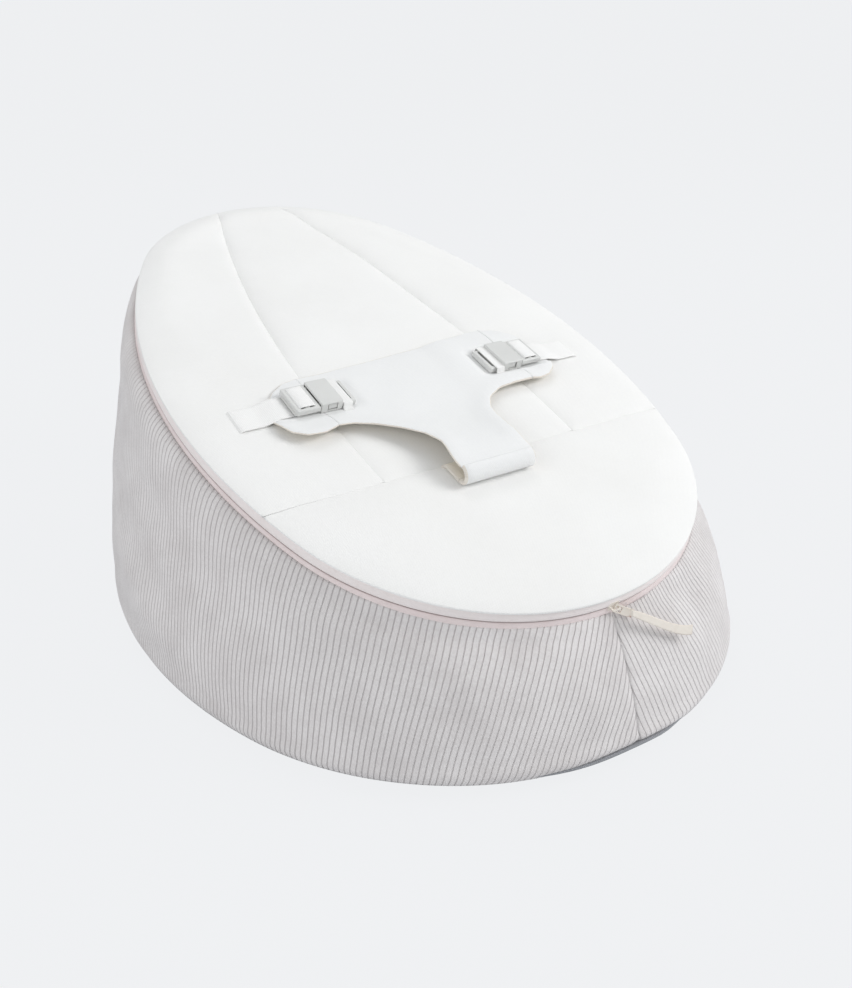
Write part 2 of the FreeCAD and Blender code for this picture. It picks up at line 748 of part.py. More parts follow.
def side_strap_loop():
    """Hem of the strap, a flat loop of webbing round the plug's middle bar."""
    start = f"({PLUG_START} + plug_bar + fit_gap)"
    length = f"(2 * {SLOT_LENGTH} + plug_middle_bar - 2 * fit_gap)"
    low = f"({PLUG_LOW} - fit_gap - strap_thickness)"
    side = "(buckle_place - strap_width / 2 + fit_gap)"
    width = "(strap_width - 2 * fit_gap)"
    height = "(plug_height + 2 * fit_gap + 2 * strap_thickness)"
    loop = block("loop_block", start, side, low, length, width, height)
    hole = block("loop_hole", f"{start} + strap_thickness", f"{side} - overrun", f"{low} + strap_thickness",
                 f"{length} - 2 * strap_thickness", f"{width} + 2 * overrun",
                 f"{height} - 2 * strap_thickness")
    tail = block("loop_tail", start, side, low, f"{length} + plug_bar + 2 * fit_gap", width,
                 "strap_thickness")
    pair("strap_loop", fuse("loop_whole", cut("loop_ring", loop, hole), tail))


def make_strap():
    """Strap from the slit, flat on the cover, up over the ear pad to the plug."""
    thick = size("strap_thickness")
    half = size("strap_width") / 2
    foot = size("crown_height") - size("cover_thickness")
    slit = size("strap_slit_place") + thick
    plug_end = size("mouth_place") + 2 * size("fit_gap") + size("plug_length") + size("seam_gap")
    plug_middle = size("crown_height") + 2 * size("layer_gap") + size("harness_thickness")
    plug_low = plug_middle + (size("socket_height") - size("plug_height")) / 2
    end_low = plug_low - size("fit_gap") - thick
    landing = size("ear_reach") + 3 * size("ear_drop") / 2
    lift = size("harness_thickness") + 2 * size("layer_gap")
    face = side_face([
        (Vector(slit, 0, foot), Vector(slit, 0, seat_top + thick)),
        (Vector(slit, 0, seat_top + thick), Vector(landing, 0, seat_top + thick)),
        (Vector(landing, 0, seat_top + thick), Vector(size("ear_reach"), 0, seat_top + lift + thick)),
        (Vector(size("ear_reach"), 0, seat_top + lift + thick), Vector(plug_end, 0, end_low + thick)),
        (Vector(plug_end, 0, end_low + thick), Vector(plug_end, 0, end_low)),
        (Vector(plug_end, 0, end_low), Vector(size("ear_reach"), 0, seat_top + lift)),
        (Vector(size("ear_reach"), 0, seat_top + lift), Vector(landing, 0, seat_top)),
        (Vector(landing, 0, seat_top), Vector(slit - thick, 0, seat_top)),
        (Vector(slit - thick, 0, seat_top), Vector(slit - thick, 0, foot)),
        (Vector(slit - thick, 0, foot), Vector(slit, 0, foot)),
    ])
    face.translate(Vector(0, size("buckle_place") - half, 0))
    strap = face.extrude(Vector(0, 2 * half, 0))
    solid_feature("strap_right", strap, seat_frame)
    solid_feature("strap_left", strap.mirror(Vector(), Vector(1, 0, 0)), seat_frame)


# The zip slider and its pull

slider_face = size("rim_half_length") - size("layer_gap") + size("fit_gap")


def make_slider():
    """Two plates before and behind the tapes, joined by a thin divider, with a bail on the front."""
    length = size("slider_length")
    width = size("slider_width")
    plate = size("slider_plate")
    inner = slider_face - 2 * size("fit_gap") - size("tape_thickness") - size("coil_thickness")
    divider = size("zip_middle_gap") - size("fit_gap")
    front = Part.makeBox(length, plate, width, Vector(-length / 2, -slider_face - plate, -width / 2))
    boxes = [(edge, edge.BoundBox) for edge in front.Edges]
    corners = [edge for edge, box in boxes if box.YLength > box.XLength + box.ZLength]
    front = front.makeFillet(width / 4, corners)
    back = Part.makeBox(length, plate, width / 2, Vector(-length / 2, -inner, -width / 4))
    core = Part.makeBox(length / 3, slider_face - inner + plate, divider,
                        Vector(-length / 6, -slider_face - plate / 2, -divider / 2))
    wire = size("bail_wire")
    reach = size("bail_length")
    high = size("bail_height")
    bail = Part.makeBox(reach, high, wire, Vector(-reach / 2, -slider_face - plate - high, -wire / 2))
    eye = Part.makeBox(reach - 2 * wire, high - wire, 2 * wire,
                       Vector(wire - reach / 2, -slider_face - plate - high + wire, -wire))
    slider = front.fuse([back, core, bail.cut(eye)]).removeSplitter()
    solid_feature("zip_slider", slider, seat_frame)


QUARTER_TURN = 90


def foot_wall_lean():
    """Angle of the wall at the foot, out from the vertical."""
    slope = math.radians(size("rim_slope_angle"))
    run = size("base_half_length") - size("base_back_shift") - size("rim_half_length") * math.cos(slope)
    rise = size("rim_middle_height") - size("rim_half_length") * math.sin(slope) - size("base_edge_height")
    return math.degrees(math.atan2(run, rise))


def pull_frame():
    """Frame of the pull: X along it and Z out from the wall, in the middle of the bail's eye."""
    depth = (size("bail_height") - size("bail_wire")) / 2
    place = Vector(0, -slider_face - size("slider_plate") - depth, 0)
    turn = Rotation(Vector(0, 0, 1), -size("pull_turn_angle"))
    upright = size("pull_tuck_angle") - foot_wall_lean() - size("rim_slope_angle")
    lean = Rotation(Vector(1, 0, 0), QUARTER_TURN + upright)
    droop = Rotation(Vector(0, 0, 1), -size("pull_droop_angle"))
    return seat_frame * Placement(place, turn * lean * droop)


def make_pull():
    """Metal tongue whose eye hooks through the bail, and a soft tab sewn to its end."""
    tongue = doc.addObject("PartDesign::Body", "tongue_body")
    plane = [item for item in tongue.Origin.OriginFeatures if item.Role == "XY_Plane"][0]
    outline = tongue.newObject("Sketcher::SketchObject", "tongue_outline")
    outline.AttachmentSupport = [(plane, "")]
    outline.MapMode = "FlatFace"
    add_rectangle(outline, ("tongue_length", "tongue_width"),
                  ("0 - tongue_thickness / 2", "0 - tongue_width / 2"))
    pad = tongue.newObject("PartDesign::Pad", "tongue_pad")
    pad.Profile = outline
    bind(pad, Length="tongue_thickness")
    pad.Midplane = True
    doc.recompute()
    opening = tongue.newObject("Sketcher::SketchObject", "tongue_eye")
    opening.AttachmentSupport = [(plane, "")]
    opening.MapMode = "FlatFace"
    add_rectangle(opening, ("tongue_eye_length", "tongue_width - 2 * tongue_rim"),
                  ("tongue_thickness / 2", "tongue_rim - tongue_width / 2"))
    pocket = tongue.newObject("PartDesign::Pocket", "tongue_pocket")
    pocket.Profile = opening
    pocket.Type = "ThroughAll"
    pocket.Midplane = True
    keep("zip_pull_tongue", tongue, pull_frame())
    tab = block("tab_block", "tongue_length - tongue_width", "0 - pull_width / 2",
                "tongue_thickness / 2 + layer_gap", "pull_length", "pull_width", "pull_thickness")
    keep("zip_pull_strap", rounded("tab_round", tab, "tab_rounding", UPRIGHT_BOX_EDGES), pull_frame())


make_base()
make_skirt()
make_filling()
make_zip()
make_cover()
make_pad(make_anchors())
make_crotch_strap()
make_fold()
make_panel()
make_socket()
make_keeper()
make_plug()
make_latch("front_latch", -1)
make_latch("rear_latch", 1)
side_strap_loop()
make_strap()
make_slider()
make_pull()
doc.recompute()

for obj in doc.Objects:
    if "Invalid" in obj.State or "Error" in obj.State:
        raise RuntimeError(f"{obj.Name} failed: {obj.State}")
os.makedirs("parts", exist_ok=True)
for label, obj in parts.items():
    if obj.Shape.isNull() or not obj.Shape.isValid():
        raise RuntimeError(f"{label} has no valid shape")
    if not obj.Shape.Solids:
        raise RuntimeError(f"{label} has no solid")
    obj.Shape.exportStep(f"parts/{label}.step")
    print(label, len(obj.Shape.Solids), round(obj.Shape.Volume))
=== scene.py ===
"""A baby bean bag seat: an egg-shaped bag of pale corduroy on a dark base, with a padded white top that is
zipped on round a sloping rim and carries a T-shaped harness with two side-release buckles."""
import math

import bpy
import numpy as np
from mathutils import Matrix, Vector, noise


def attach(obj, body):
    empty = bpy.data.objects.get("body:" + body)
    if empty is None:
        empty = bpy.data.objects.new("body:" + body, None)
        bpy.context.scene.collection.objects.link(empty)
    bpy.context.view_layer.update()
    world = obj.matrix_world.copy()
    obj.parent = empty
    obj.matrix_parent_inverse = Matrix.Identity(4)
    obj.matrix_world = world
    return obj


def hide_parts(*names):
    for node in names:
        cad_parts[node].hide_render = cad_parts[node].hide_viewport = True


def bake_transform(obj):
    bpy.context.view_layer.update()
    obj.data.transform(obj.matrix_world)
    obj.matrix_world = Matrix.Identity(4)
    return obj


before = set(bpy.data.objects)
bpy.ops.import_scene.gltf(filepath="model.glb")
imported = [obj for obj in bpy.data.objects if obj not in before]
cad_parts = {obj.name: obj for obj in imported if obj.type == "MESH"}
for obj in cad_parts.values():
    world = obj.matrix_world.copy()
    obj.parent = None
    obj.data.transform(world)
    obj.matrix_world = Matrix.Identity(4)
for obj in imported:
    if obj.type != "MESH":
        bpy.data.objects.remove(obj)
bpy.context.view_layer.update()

# The base: a dished panel of dark grey woven polyester that lies under the whole bag. Its edge rolls
# up round the foot of the corduroy, to which it is sewn. Lengths are in millimetres up to the mesh.


def egg_arcs(half_length, half_width, foot_share, head_share):
    """Centres and radii of the foot, side and head arcs of half an egg, and the turns where they join."""
    foot_radius = foot_share * half_width
    head_radius = head_share * half_width
    foot_y = foot_radius - half_length
    head_y = half_length - head_radius
    rise = (head_radius - foot_radius) / (head_y - foot_y)
    start = (foot_radius**2 - head_radius**2 + head_y**2 - foot_y**2) / (2 * (head_y - foot_y))
    half_b = foot_radius - half_width + rise * (start - foot_y)
    term = half_width**2 + (start - foot_y) ** 2 - foot_radius**2
    side_radius = term / (math.sqrt(half_b**2 - rise**2 * term) - half_b)
    side_x, side_y = half_width - side_radius, rise * side_radius + start
    centres = np.array([(0, foot_y), (side_x, side_y), (0, head_y)])
    radii = np.array([foot_radius, side_radius, head_radius])
    joins = np.array([math.atan2(-side_x, side_y - foot_y), math.atan2(-side_x, side_y - head_y)])
    return centres, radii, joins


def egg_points(arcs, turns, inset):
    """Points of an egg at turns from its foot, positive towards +X, and the directions out of it."""
    centres, radii, joins = arcs
    folded = np.abs(turns)
    arc = np.searchsorted(joins, folded)
    out = np.stack([np.sin(folded), -np.cos(folded)], -1)
    points = centres[arc] + (radii[arc] - inset)[:, None] * out
    points[:, 0] *= np.where(turns < 0, -1, 1)
    out[:, 0] *= np.where(turns < 0, -1, 1)
    return points, out


# Half length, half width, and roundness of the foot and head ends, of the base and of the rim
BASE_EGG = (375, 300, 0.96, 0.76)
RIM_EGG = (370, 250, 0.92, 0.80)
BASE_ARCS = egg_arcs(*BASE_EGG)
RIM_ARCS = egg_arcs(*RIM_EGG)
BASE_SHIFT = (0, -20)
BASE_EDGE = 13
ROLL_HEIGHT = 12.7
RIM_SLOPE = math.radians(16)
RIM_MIDDLE = 227
WALL_SWELL = 13
RIM_SAG = 9


def bell(value, width):
    """Soft bump: 1 in its middle, falling away over its width."""
    return np.exp(-((value / width) ** 2))


def smooth(value):
    """Smooth step from 0 at 0 to 1 at 1."""
    value = np.clip(value, 0, 1)
    return value * value * (3 - 2 * value)


def sag(turns):
    """How far the soft rim gives way inwards behind the right strap."""
    return RIM_SAG * bell(turns - 1.95, 0.6)[:, None]


def rim_points(turns, inset):
    """Points round the rim, and the directions out of it."""
    points, out = egg_points(RIM_ARCS, turns, inset)
    return points - out * sag(turns), out


def wall_ring(share, turns, inset):
    """Level ring of the wall, from the base edge (share 0) to the rim (share 1)."""
    slope = math.atan(share * math.tan(RIM_SLOPE))
    sizes = [low + share * (high - low) for low, high in zip(BASE_EGG, RIM_EGG)]
    sizes[0] = (BASE_EGG[0] + share * (RIM_EGG[0] * math.cos(RIM_SLOPE) - BASE_EGG[0])) / math.cos(slope)
    swell = 4 * share * (1 - share)
    flat, out = egg_points(egg_arcs(*sizes), turns, inset - WALL_SWELL * swell)
    flat = flat - out * sag(turns) * share
    middle = BASE_SHIFT[1] * (1 - share) + 5 * swell
    lift = BASE_EDGE + share * (RIM_MIDDLE - BASE_EDGE)
    y, z = flat[:, 1] * math.cos(slope) + middle, flat[:, 1] * math.sin(slope) + lift
    return np.stack([flat[:, 0], y, z], -1), out


def seat(points):
    """From the seat's own frame, in the plane of the zip, to the frame of the whole object."""
    x, y, z = np.moveaxis(np.asarray(points, float), -1, 0)
    cos, sin = math.cos(RIM_SLOPE), math.sin(RIM_SLOPE)
    return np.stack([x, y * cos - z * sin, RIM_MIDDLE + y * sin + z * cos], -1)


def distances(line):
    """How far along a line each of its points is."""
    return np.concatenate([[0], np.cumsum(np.linalg.norm(np.diff(line, axis=0), axis=1))])


def spaced(count, fine, line):
    """Turns that are evenly spaced along a line given at fine turns, and how far along it they are."""
    gone = distances(line)
    even = np.linspace(0, gone[-1], count)
    return np.interp(even, gone, fine), even


def even_turns(count, start, end, share=0.5):
    """Evenly spaced turns between two turns, along a level of the wall, and how far along they are."""
    fine = np.linspace(start, end, 4000)
    return spaced(count, fine, wall_ring(share, fine, 0)[0])


def make_piece(name, points, faces, flat=None):
    """Smooth mesh from points in millimetres, with the cloth's own flat places, in metres, as its UV map."""
    mesh = bpy.data.meshes.new(name)
    mesh.from_pydata((np.asarray(points) * 0.001).tolist(), [], faces)
    if flat is not None:
        corners = np.empty(len(mesh.loops), int)
        mesh.loops.foreach_get("vertex_index", corners)
        layer = mesh.uv_layers.new(name="cloth")
        layer.data.foreach_set("uv", (np.asarray(flat)[corners] * 0.001).ravel())
    mesh.shade_smooth()
    obj = bpy.data.objects.new(name, mesh)
    bpy.context.scene.collection.objects.link(obj)
    return obj


def ringed(name, rings, flat=None):
    """Closed piece from a stack of rings, each with a pole over its end."""
    rings = np.asarray(rings, float)
    count, around = rings.shape[:2]
    index = np.arange(count * around).reshape(count, around)
    after = np.roll(index, -1, axis=1)
    quads = np.stack([index[:-1], after[:-1], after[1:], index[1:]], -1).reshape(-1, 4).tolist()
    first, last = count * around, count * around + 1
    quads += [(first, b, a) for a, b in zip(index[0].tolist(), after[0].tolist())]
    quads += [(last, a, b) for a, b in zip(index[-1].tolist(), after[-1].tolist())]
    points = np.concatenate([rings.reshape(-1, 3), [rings[0].mean(0)], [rings[-1].mean(0)]])
    if flat is not None:
        flat = np.asarray(flat, float).reshape(-1, 2)
        flat = np.concatenate([flat, [flat[:around].mean(0)], [flat[-around:].mean(0)]])
    obj = make_piece(name, points, quads, flat)
    turn_out(obj)
    return obj


def turn_out(obj):
    """Turns a closed mesh the right way out, by the sign of its volume."""
    mesh = obj.data
    mesh.calc_loop_triangles()
    corners = np.empty(len(mesh.loop_triangles) * 3, int)
    mesh.loop_triangles.foreach_get("vertices", corners)
    places = np.empty(len(mesh.vertices) * 3)
    mesh.vertices.foreach_get("co", places)
    a, b, c = np.moveaxis(places.reshape(-1, 3)[corners].reshape(-1, 3, 3), 1, 0)
    if np.einsum("ij,ij->i", a, np.cross(b, c)).sum() < 0:
        mesh.flip_normals()


class Shade:
    """A number on its way through a material; arithmetic on it adds Math nodes."""

    def __init__(self, finish, socket):
        self.finish, self.socket = finish, socket

    def __add__(self, other):
        return self.finish.math("ADD", self, other)

    def __radd__(self, other):
        return self.finish.math("ADD", other, self)

    def __sub__(self, other):
        return self.finish.math("SUBTRACT", self, other)

    def __rsub__(self, other):
        return self.finish.math("SUBTRACT", other, self)

    def __mul__(self, other):
        return self.finish.math("MULTIPLY", self, other)

    def __rmul__(self, other):
        return self.finish.math("MULTIPLY", other, self)

    def __truediv__(self, other):
        return self.finish.math("DIVIDE", self, other)

    def __rtruediv__(self, other):
        return self.finish.math("DIVIDE", other, self)


def add_node(tree, kind, settings=None, values=None):
    """Adds a node to a tree. Its settings come first, then its sockets by name or number."""
    made = tree.nodes.new(kind)
    for key, value in (settings or {}).items():
        setattr(made, key, value)
    for key, value in (values or {}).items():
        value = value.socket if isinstance(value, Shade) else value
        if isinstance(value, bpy.types.NodeSocket):
            tree.links.new(value, made.inputs[key])
        else:
            made.inputs[key].default_value = value
    return made


class Finish:
    """One material of the seat, built from nodes."""

    def __init__(self, name):
        self.material = bpy.data.materials.new(name)
        self.material.use_nodes = True
        self.tree = self.material.node_tree
        self.tree.nodes.clear()

    def node(self, kind, settings=None, values=None):
        return add_node(self.tree, kind, settings, values)

    def math(self, operation, *values):
        made = self.node("ShaderNodeMath", {"operation": operation}, dict(enumerate(values)))
        return Shade(self, made.outputs[0])

    def places(self):
        """Place on the object, in metres."""
        return self.node("ShaderNodeTexCoord").outputs["Object"]

    def cloth(self):
        """Place in the flat cloth that the piece was cut from: across and along, in metres."""
        return self.node("ShaderNodeUVMap", {"uv_map": "cloth"}).outputs[0]

    def parts_of(self, vector):
        made = self.node("ShaderNodeSeparateXYZ", values={0: vector})
        return [Shade(self, made.outputs[number]) for number in range(3)]

    def mapped(self, vector, **change):
        """The same places turned or scaled."""
        return self.node("ShaderNodeMapping", values={"Vector": vector, **change}).outputs[0]

    def noise(self, vector, scale, detail=2.0, rough=0.5):
        values = {"Vector": vector, "Scale": scale, "Detail": detail, "Roughness": rough}
        return Shade(self, self.node("ShaderNodeTexNoise", values=values).outputs[0])

    def between(self, value, low, high):
        """Smooth step of a number from 0 at low to 1 at high."""
        made = self.node("ShaderNodeMapRange", {"interpolation_type": "SMOOTHSTEP"},
                         {"Value": value, "From Min": low, "From Max": high})
        return Shade(self, made.outputs[0])

    def blend(self, factor, one, other):
        return self.node("ShaderNodeMix", {"data_type": "RGBA"}, {0: factor, 6: one, 7: other}).outputs[2]

    def bump(self, height, distance):
        values = {"Height": height, "Distance": distance, "Strength": 1.0}
        return self.node("ShaderNodeBump", values=values).outputs[0]

    def done(self, colour, roughness, normal=None, **constants):
        """The finished material; its constants are other sockets of the surface, with _ for each space."""
        values = {"Base Color": colour, "Roughness": roughness}
        if normal is not None:
            values["Normal"] = normal
        values.update({key.replace("_", " "): value for key, value in constants.items()})
        made = self.node("ShaderNodeBsdfPrincipled", values=values)
        self.node("ShaderNodeOutputMaterial", values={0: made.outputs[0]})
        return self.material


def woven(finish, across, along, thread):
    """Height of a plain weave: threads that pass over and under each other."""
    over = finish.math("SINE", across * (math.pi / thread))
    under = finish.math("SINE", along * (math.pi / thread))
    return over * under * 0.5 + 0.5


def woven_cloth(name, light, dark, thread, depth, mottle, sheen=0.15):
    """Plain woven cloth seen in the plane of the seat, with uneven threads and a slightly mottled tone."""
    finish = Finish(name)
    places = finish.mapped(finish.places(), Rotation=(-RIM_SLOPE, 0, 0))
    across, along, _ = finish.parts_of(places)
    drift = finish.noise(places, 45, 2) * 0.0012
    weave = woven(finish, across + drift, along + drift, thread)
    tone = finish.noise(places, 9, 3, 0.6)
    slub = finish.noise(places, 420, 2, 0.6)
    shade = finish.between(weave * 0.5 + slub * 0.3 + tone * mottle, 0.2, 0.8 + 0.5 * mottle)
    colour = finish.blend(shade, (*dark, 1), (*light, 1))
    normal = finish.bump(weave + slub * 0.5, depth)
    return finish.done(colour, 0.9, normal, Sheen_Weight=sheen, Sheen_Roughness=0.5)


base_material = woven_cloth("base woven cloth", (0.36, 0.37, 0.39), (0.22, 0.225, 0.24), 0.0011, 0.0003, 0.6)


def hang(turns):
    """How much lower the skirt's edge lies, over the base's roll, than at the foot."""
    return smooth((-turns - 0.07) / 0.45) + smooth((turns - 0.09) / 0.2)


def foot_raise(turns):
    """Height by which the base's roll shows above its usual edge, at the foot."""
    return 4 * bell(turns + 0.03, 0.16)


# The base's section from the middle of its underside: height from the floor, and inset from its outline
base_profile = [(0, 260), (0, 180), (0, 90), (0, 46), (0.6, 36), (2.2, 26), (4.4, 17), (6.6, 9.5), (8.6, 3.6),
                (10.2, 0.4), (11.6, -0.6), (12.5, -0.3), (12.7, 0.6), (12.5, 2.6), (11.2, 5.5), (9.2, 11),
                (7, 18.5), (4.9, 27.5), (3.4, 37), (2.5, 48), (2.5, 90), (2.5, 180), (2.5, 260)]
base_turns = even_turns(361, -math.pi, math.pi)[0][:-1]
base_line, base_out = egg_points(BASE_ARCS, base_turns, 0)
base_hang, base_raise = hang(base_turns), foot_raise(base_turns)
base_rings = []
for high, inset in base_profile:
    insets = inset * (1 + 0.1 * base_hang) + 3 * base_hang * (high > 6)
    heights = high + 2.5 * math.sqrt(high / ROLL_HEIGHT) * base_hang + high / ROLL_HEIGHT * base_raise
    base_rings.append(np.column_stack([base_line - base_out * insets[:, None] + BASE_SHIFT, heights]))
base = ringed("base_cloth", base_rings)
base.data.materials.append(base_material)
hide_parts("base_panel")
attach(base, "bag")


# The skirt: two pieces of wide-wale corduroy, sewn together at the foot and the head. Each was cut with
# its ribs running one way, so they meet the front seam aslant. The lower edge turns under at the base.


def crumple(points, scale, seed):
    """Smooth uneven numbers from -1 to 1 over a set of points in millimetres."""
    shift = Vector((seed * 17.3, seed * 5.1, seed * 9.7))
    numbers = [noise.noise(Vector(point) / scale + shift) for point in points.reshape(-1, 3)]
    return np.array(numbers).reshape(points.shape[:-1])


RIB_PITCH = 0.0053


def corduroy():
    """Pale corduroy: ribs with a short brushed pile, and narrow grooves painted darker and browner as shade.
    """
    finish = Finish("pale corduroy")
    places, cloth = finish.places(), finish.cloth()
    across, along, _ = finish.parts_of(cloth)
    drift = (finish.noise(places, 9, 1) - 0.5) * 0.004 + (finish.noise(places, 60, 1) - 0.5) * 0.0008
    turns = finish.math("FRACT", (across + drift) / RIB_PITCH)
    ridge = 1 - finish.math("ABSOLUTE", turns * 2 - 1)
    rib = finish.between(ridge, 0.0, 0.3)
    pile = finish.noise(finish.mapped(cloth, Scale=(1, 0.4, 1)), 1500, 3, 0.7)
    tuft = finish.noise(cloth, 420, 3, 0.65)
    brushed = finish.noise(places, 24, 4, 0.65)
    tone = finish.between(brushed * 0.55 + tuft * 0.45, 0.32, 0.68)
    top = finish.blend(tone, (0.67, 0.635, 0.625, 1), (0.80, 0.77, 0.76, 1))
    # The grooves between the ribs are painted darker and browner as the shade that falls in them
    colour = finish.blend(finish.between(rib + (pile - 0.5) * 0.25, 0.05, 0.75), (0.58, 0.54, 0.53, 1), top)
    normal = finish.bump(rib + (pile - 0.5) * 0.18 + (tuft - 0.5) * 0.25, 0.00065)
    return finish.done(colour, 0.92, normal, Sheen_Weight=0.25, Sheen_Roughness=0.45)


corduroy_material = corduroy()
CORDUROY_THICK = 0.0024
ROLL_OUT, ROLL_DEEP, VALLEY_DEEP = 9.5, 42, 3.5
SEAM_GROOVE, SEAM_HALF = 1.3, 3.5
SKIRT_COLUMNS = 420
SKIRT_LEVELS = np.concatenate([np.linspace(0, 0.1, 8), np.linspace(0.1, 0.9, 30)[1:],
                               np.linspace(0.9, 1, 8)[1:]])
# Height of the upper edge from the middle of the zip, at turns from the foot
UNDER_ZIP = ([-math.pi, -1, -0.12, 0.3, 1, math.pi], [-5.0, -4.4, -5.2, -7.0, -7.4, -6.0])
# How much the cloth rolls out under the zip, at places along the wall from the foot seam
ZIP_ROLL = ([-1060, -900, -750, -600, -400, -130, 250, 500, 1060], [0, 0.6, 1, 1, 0.5, 0, 0, 0.6, 0])
# Folds in the cloth: places along the wall (from the foot seam, left negative) and up it, where each
# starts and ends, its half width, and how far it goes in or out, all in millimetres
SKIRT_FOLDS = [
    (-640, 120, -420, 70, 22, -3), (-620, 80, -400, 30, 20, 2.5),
    (20, 205, 75, 150, 14, -7), (60, 212, 170, 150, 16, 4), (40, 120, 150, 75, 15, -3),
    (25, 90, 120, 40, 14, 2.5),
    (420, 200, 300, 90, 28, -4), (700, 210, 560, 110, 24, -4), (-820, 200, -700, 100, 26, -4),
    (900, 180, 980, 90, 30, 3), (-930, 190, -980, 80, 26, -3),
]


def fold_depth(along, high):
    """How far the folds push each place of the wall outwards."""
    depth = np.zeros_like(along)
    for from_along, from_high, to_along, to_high, half, push in SKIRT_FOLDS:
        way = np.array([to_along - from_along, to_high - from_high])
        length = np.linalg.norm(way)
        share = ((along - from_along) * way[0] + (high - from_high) * way[1]) / length**2
        aside = ((along - from_along) * way[1] - (high - from_high) * way[0]) / length
        ends = np.clip(share / 0.35, 0, 1) * np.clip((1 - share) / 0.35, 0, 1)
        depth += push * bell(aside, half) * smooth(ends)
    return depth


# The lean of the ribs from upright, in degrees, at places along the wall from the foot seam
RIB_LEAN = {
    -1: ([-1064, -1000, -850, -650, -500, -400, -300, -200, -100, 0],
         [0, -6, -24, -33, -26, -17, -7, 6, 20, 34]),
    1: ([0, 60, 120, 300, 500, 700, 900, 1064], [-14, -17, -18, -19, -16, -11, -5, 0]),
}


def flat_ribs(grid, gone, high, tall, side):
    """Where each place of the wall lies in the flat corduroy, so that its ribs lean as they should."""
    lean = np.radians(np.interp(gone * side, *RIB_LEAN[side]))
    even = np.hanning(63)[1:-1]
    lean = np.convolve(np.pad(lean, 30, "edge"), even / even.sum(), "valid")
    middle = grid[len(grid) // 2]
    up = grid[len(grid) // 2 + 1] - middle
    way = np.gradient(middle, axis=0) * side
    skew = np.arcsin((up * way).sum(1) / np.linalg.norm(up, axis=1) / np.linalg.norm(way, axis=1))
    between = (lean[1:] + lean[:-1]) / 2
    across, onward = (np.concatenate([[0], np.cumsum(part * np.diff(gone))]) * side
                      for part in (np.cos(between), np.sin(between)))
    height = high - tall / 2
    return np.stack([across - height * np.sin(lean - skew), onward + height * np.cos(lean - skew)], -1)


def wall_relief(grid, along, high, down):
    """How far the wall stands out: crumples and folds, the roll under the zip, seams and turned edges."""
    window = np.clip(high / 40, 0, 1) * np.clip(down / 30, 0, 1)
    push = (2.4 * crumple(grid, 85, 1) + 1.1 * crumple(grid, 33, 2)) * window + fold_depth(along, high)
    valley = VALLEY_DEEP * smooth((along + 620) / 120) * bell(down - 72, 22)
    roll = ROLL_OUT * (1 - np.exp(-down / 6)) * bell(down, ROLL_DEEP)
    push += np.interp(along, *ZIP_ROLL) * (roll - valley)
    # A hollow just under the zip, to the left of the slider
    push -= 3.5 * bell(down - 9, 8) * bell(along + 170, 110)
    from_foot = np.abs(along)
    push -= SEAM_GROOVE * (bell(from_foot, SEAM_HALF) + bell(from_foot.max() - from_foot, SEAM_HALF))
    return push + 1.6 * bell(high - 9, 6) - 2.2 * bell(high, 3.5) + 0.5 * bell(down - 6, 4)


def make_skirt(name, side):
    """One half of the skirt, with the corduroy's own flat places as its UV map."""
    ends = (SKIRT_COLUMNS, side * 1e-4, side * (math.pi - 1e-4))
    gone = even_turns(*ends)[1]
    edge_turns, lip_turns = even_turns(*ends, 0)[0], even_turns(*ends, 1)[0]
    lip = seat(np.column_stack([rim_points(lip_turns, -2.4)[0], np.interp(lip_turns, *UNDER_ZIP)]))
    rim = wall_ring(1, lip_turns, 0)[0]
    grid, outs = [], []
    for share in SKIRT_LEVELS:
        ring, out = wall_ring(share, even_turns(*ends, share)[0], 0)
        grid.append(ring + smooth((share - 0.6) / 0.4) * (lip - rim))
        outs.append(np.column_stack([out, np.zeros(len(out))]))
    grid, outs = np.array(grid), np.array(outs)
    tall = np.linalg.norm(lip - grid[0], axis=1)
    high = SKIRT_LEVELS[:, None] * tall
    along = np.broadcast_to(gone * side, high.shape)
    flat = flat_ribs(grid, gone, high, tall, side)
    grid = grid + outs * wall_relief(grid, along, high, tall - high)[..., None]
    grid[..., 2] -= np.exp(-high / 22) * (0.8 + 1.6 * hang(edge_turns) - foot_raise(edge_turns))
    index = np.arange(high.size).reshape(high.shape)
    quads = np.stack([index[:-1, :-1], index[:-1, 1:], index[1:, 1:], index[1:, :-1]], -1)[..., ::side]
    skirt = make_piece(name, grid.reshape(-1, 3), quads.reshape(-1, 4).tolist(), flat.reshape(-1, 2))
    thick = skirt.modifiers.new("cloth thickness", "SOLIDIFY")
    thick.thickness, thick.offset = CORDUROY_THICK, -1
    skirt.data.materials.append(corduroy_material)
    return skirt


for side_name, side in (("left", -1), ("right", 1)):
    skirt = make_skirt(f"corduroy_{side_name}", side)
    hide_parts(f"skirt_{side_name}")
    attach(skirt, "bag")


# The filling: an inner bag of thin white cloth, full of small foam beads, that comes out for washing
# the corduroy. It is closed by its own seam and is wholly inside the skirt, base and top.


def bead_filling():
    """Foam beads about 4 mm across, packed together, with the gaps between them painted grey as shade."""
    finish = Finish("foam beads")
    places = finish.places()
    cells = finish.node("ShaderNodeTexVoronoi", {"feature": "F1"}, {"Vector": places, "Scale": 260})
    round_bead = 1 - finish.between(Shade(finish, cells.outputs["Distance"]), 0.0, 0.7)
    # The gaps between the beads are painted grey as shade
    colour = finish.blend(round_bead, (0.66, 0.66, 0.65, 1), (0.93, 0.93, 0.92, 1))
    return finish.done(colour, 0.6, finish.bump(round_bead, 0.002))


bag_turns = even_turns(201, -math.pi, math.pi)[0][:-1]


def base_ring(height, inset):
    """Level ring over the base."""
    flat, _ = egg_points(BASE_ARCS, bag_turns, inset)
    return np.column_stack([flat + BASE_SHIFT, np.full(len(flat), height)])


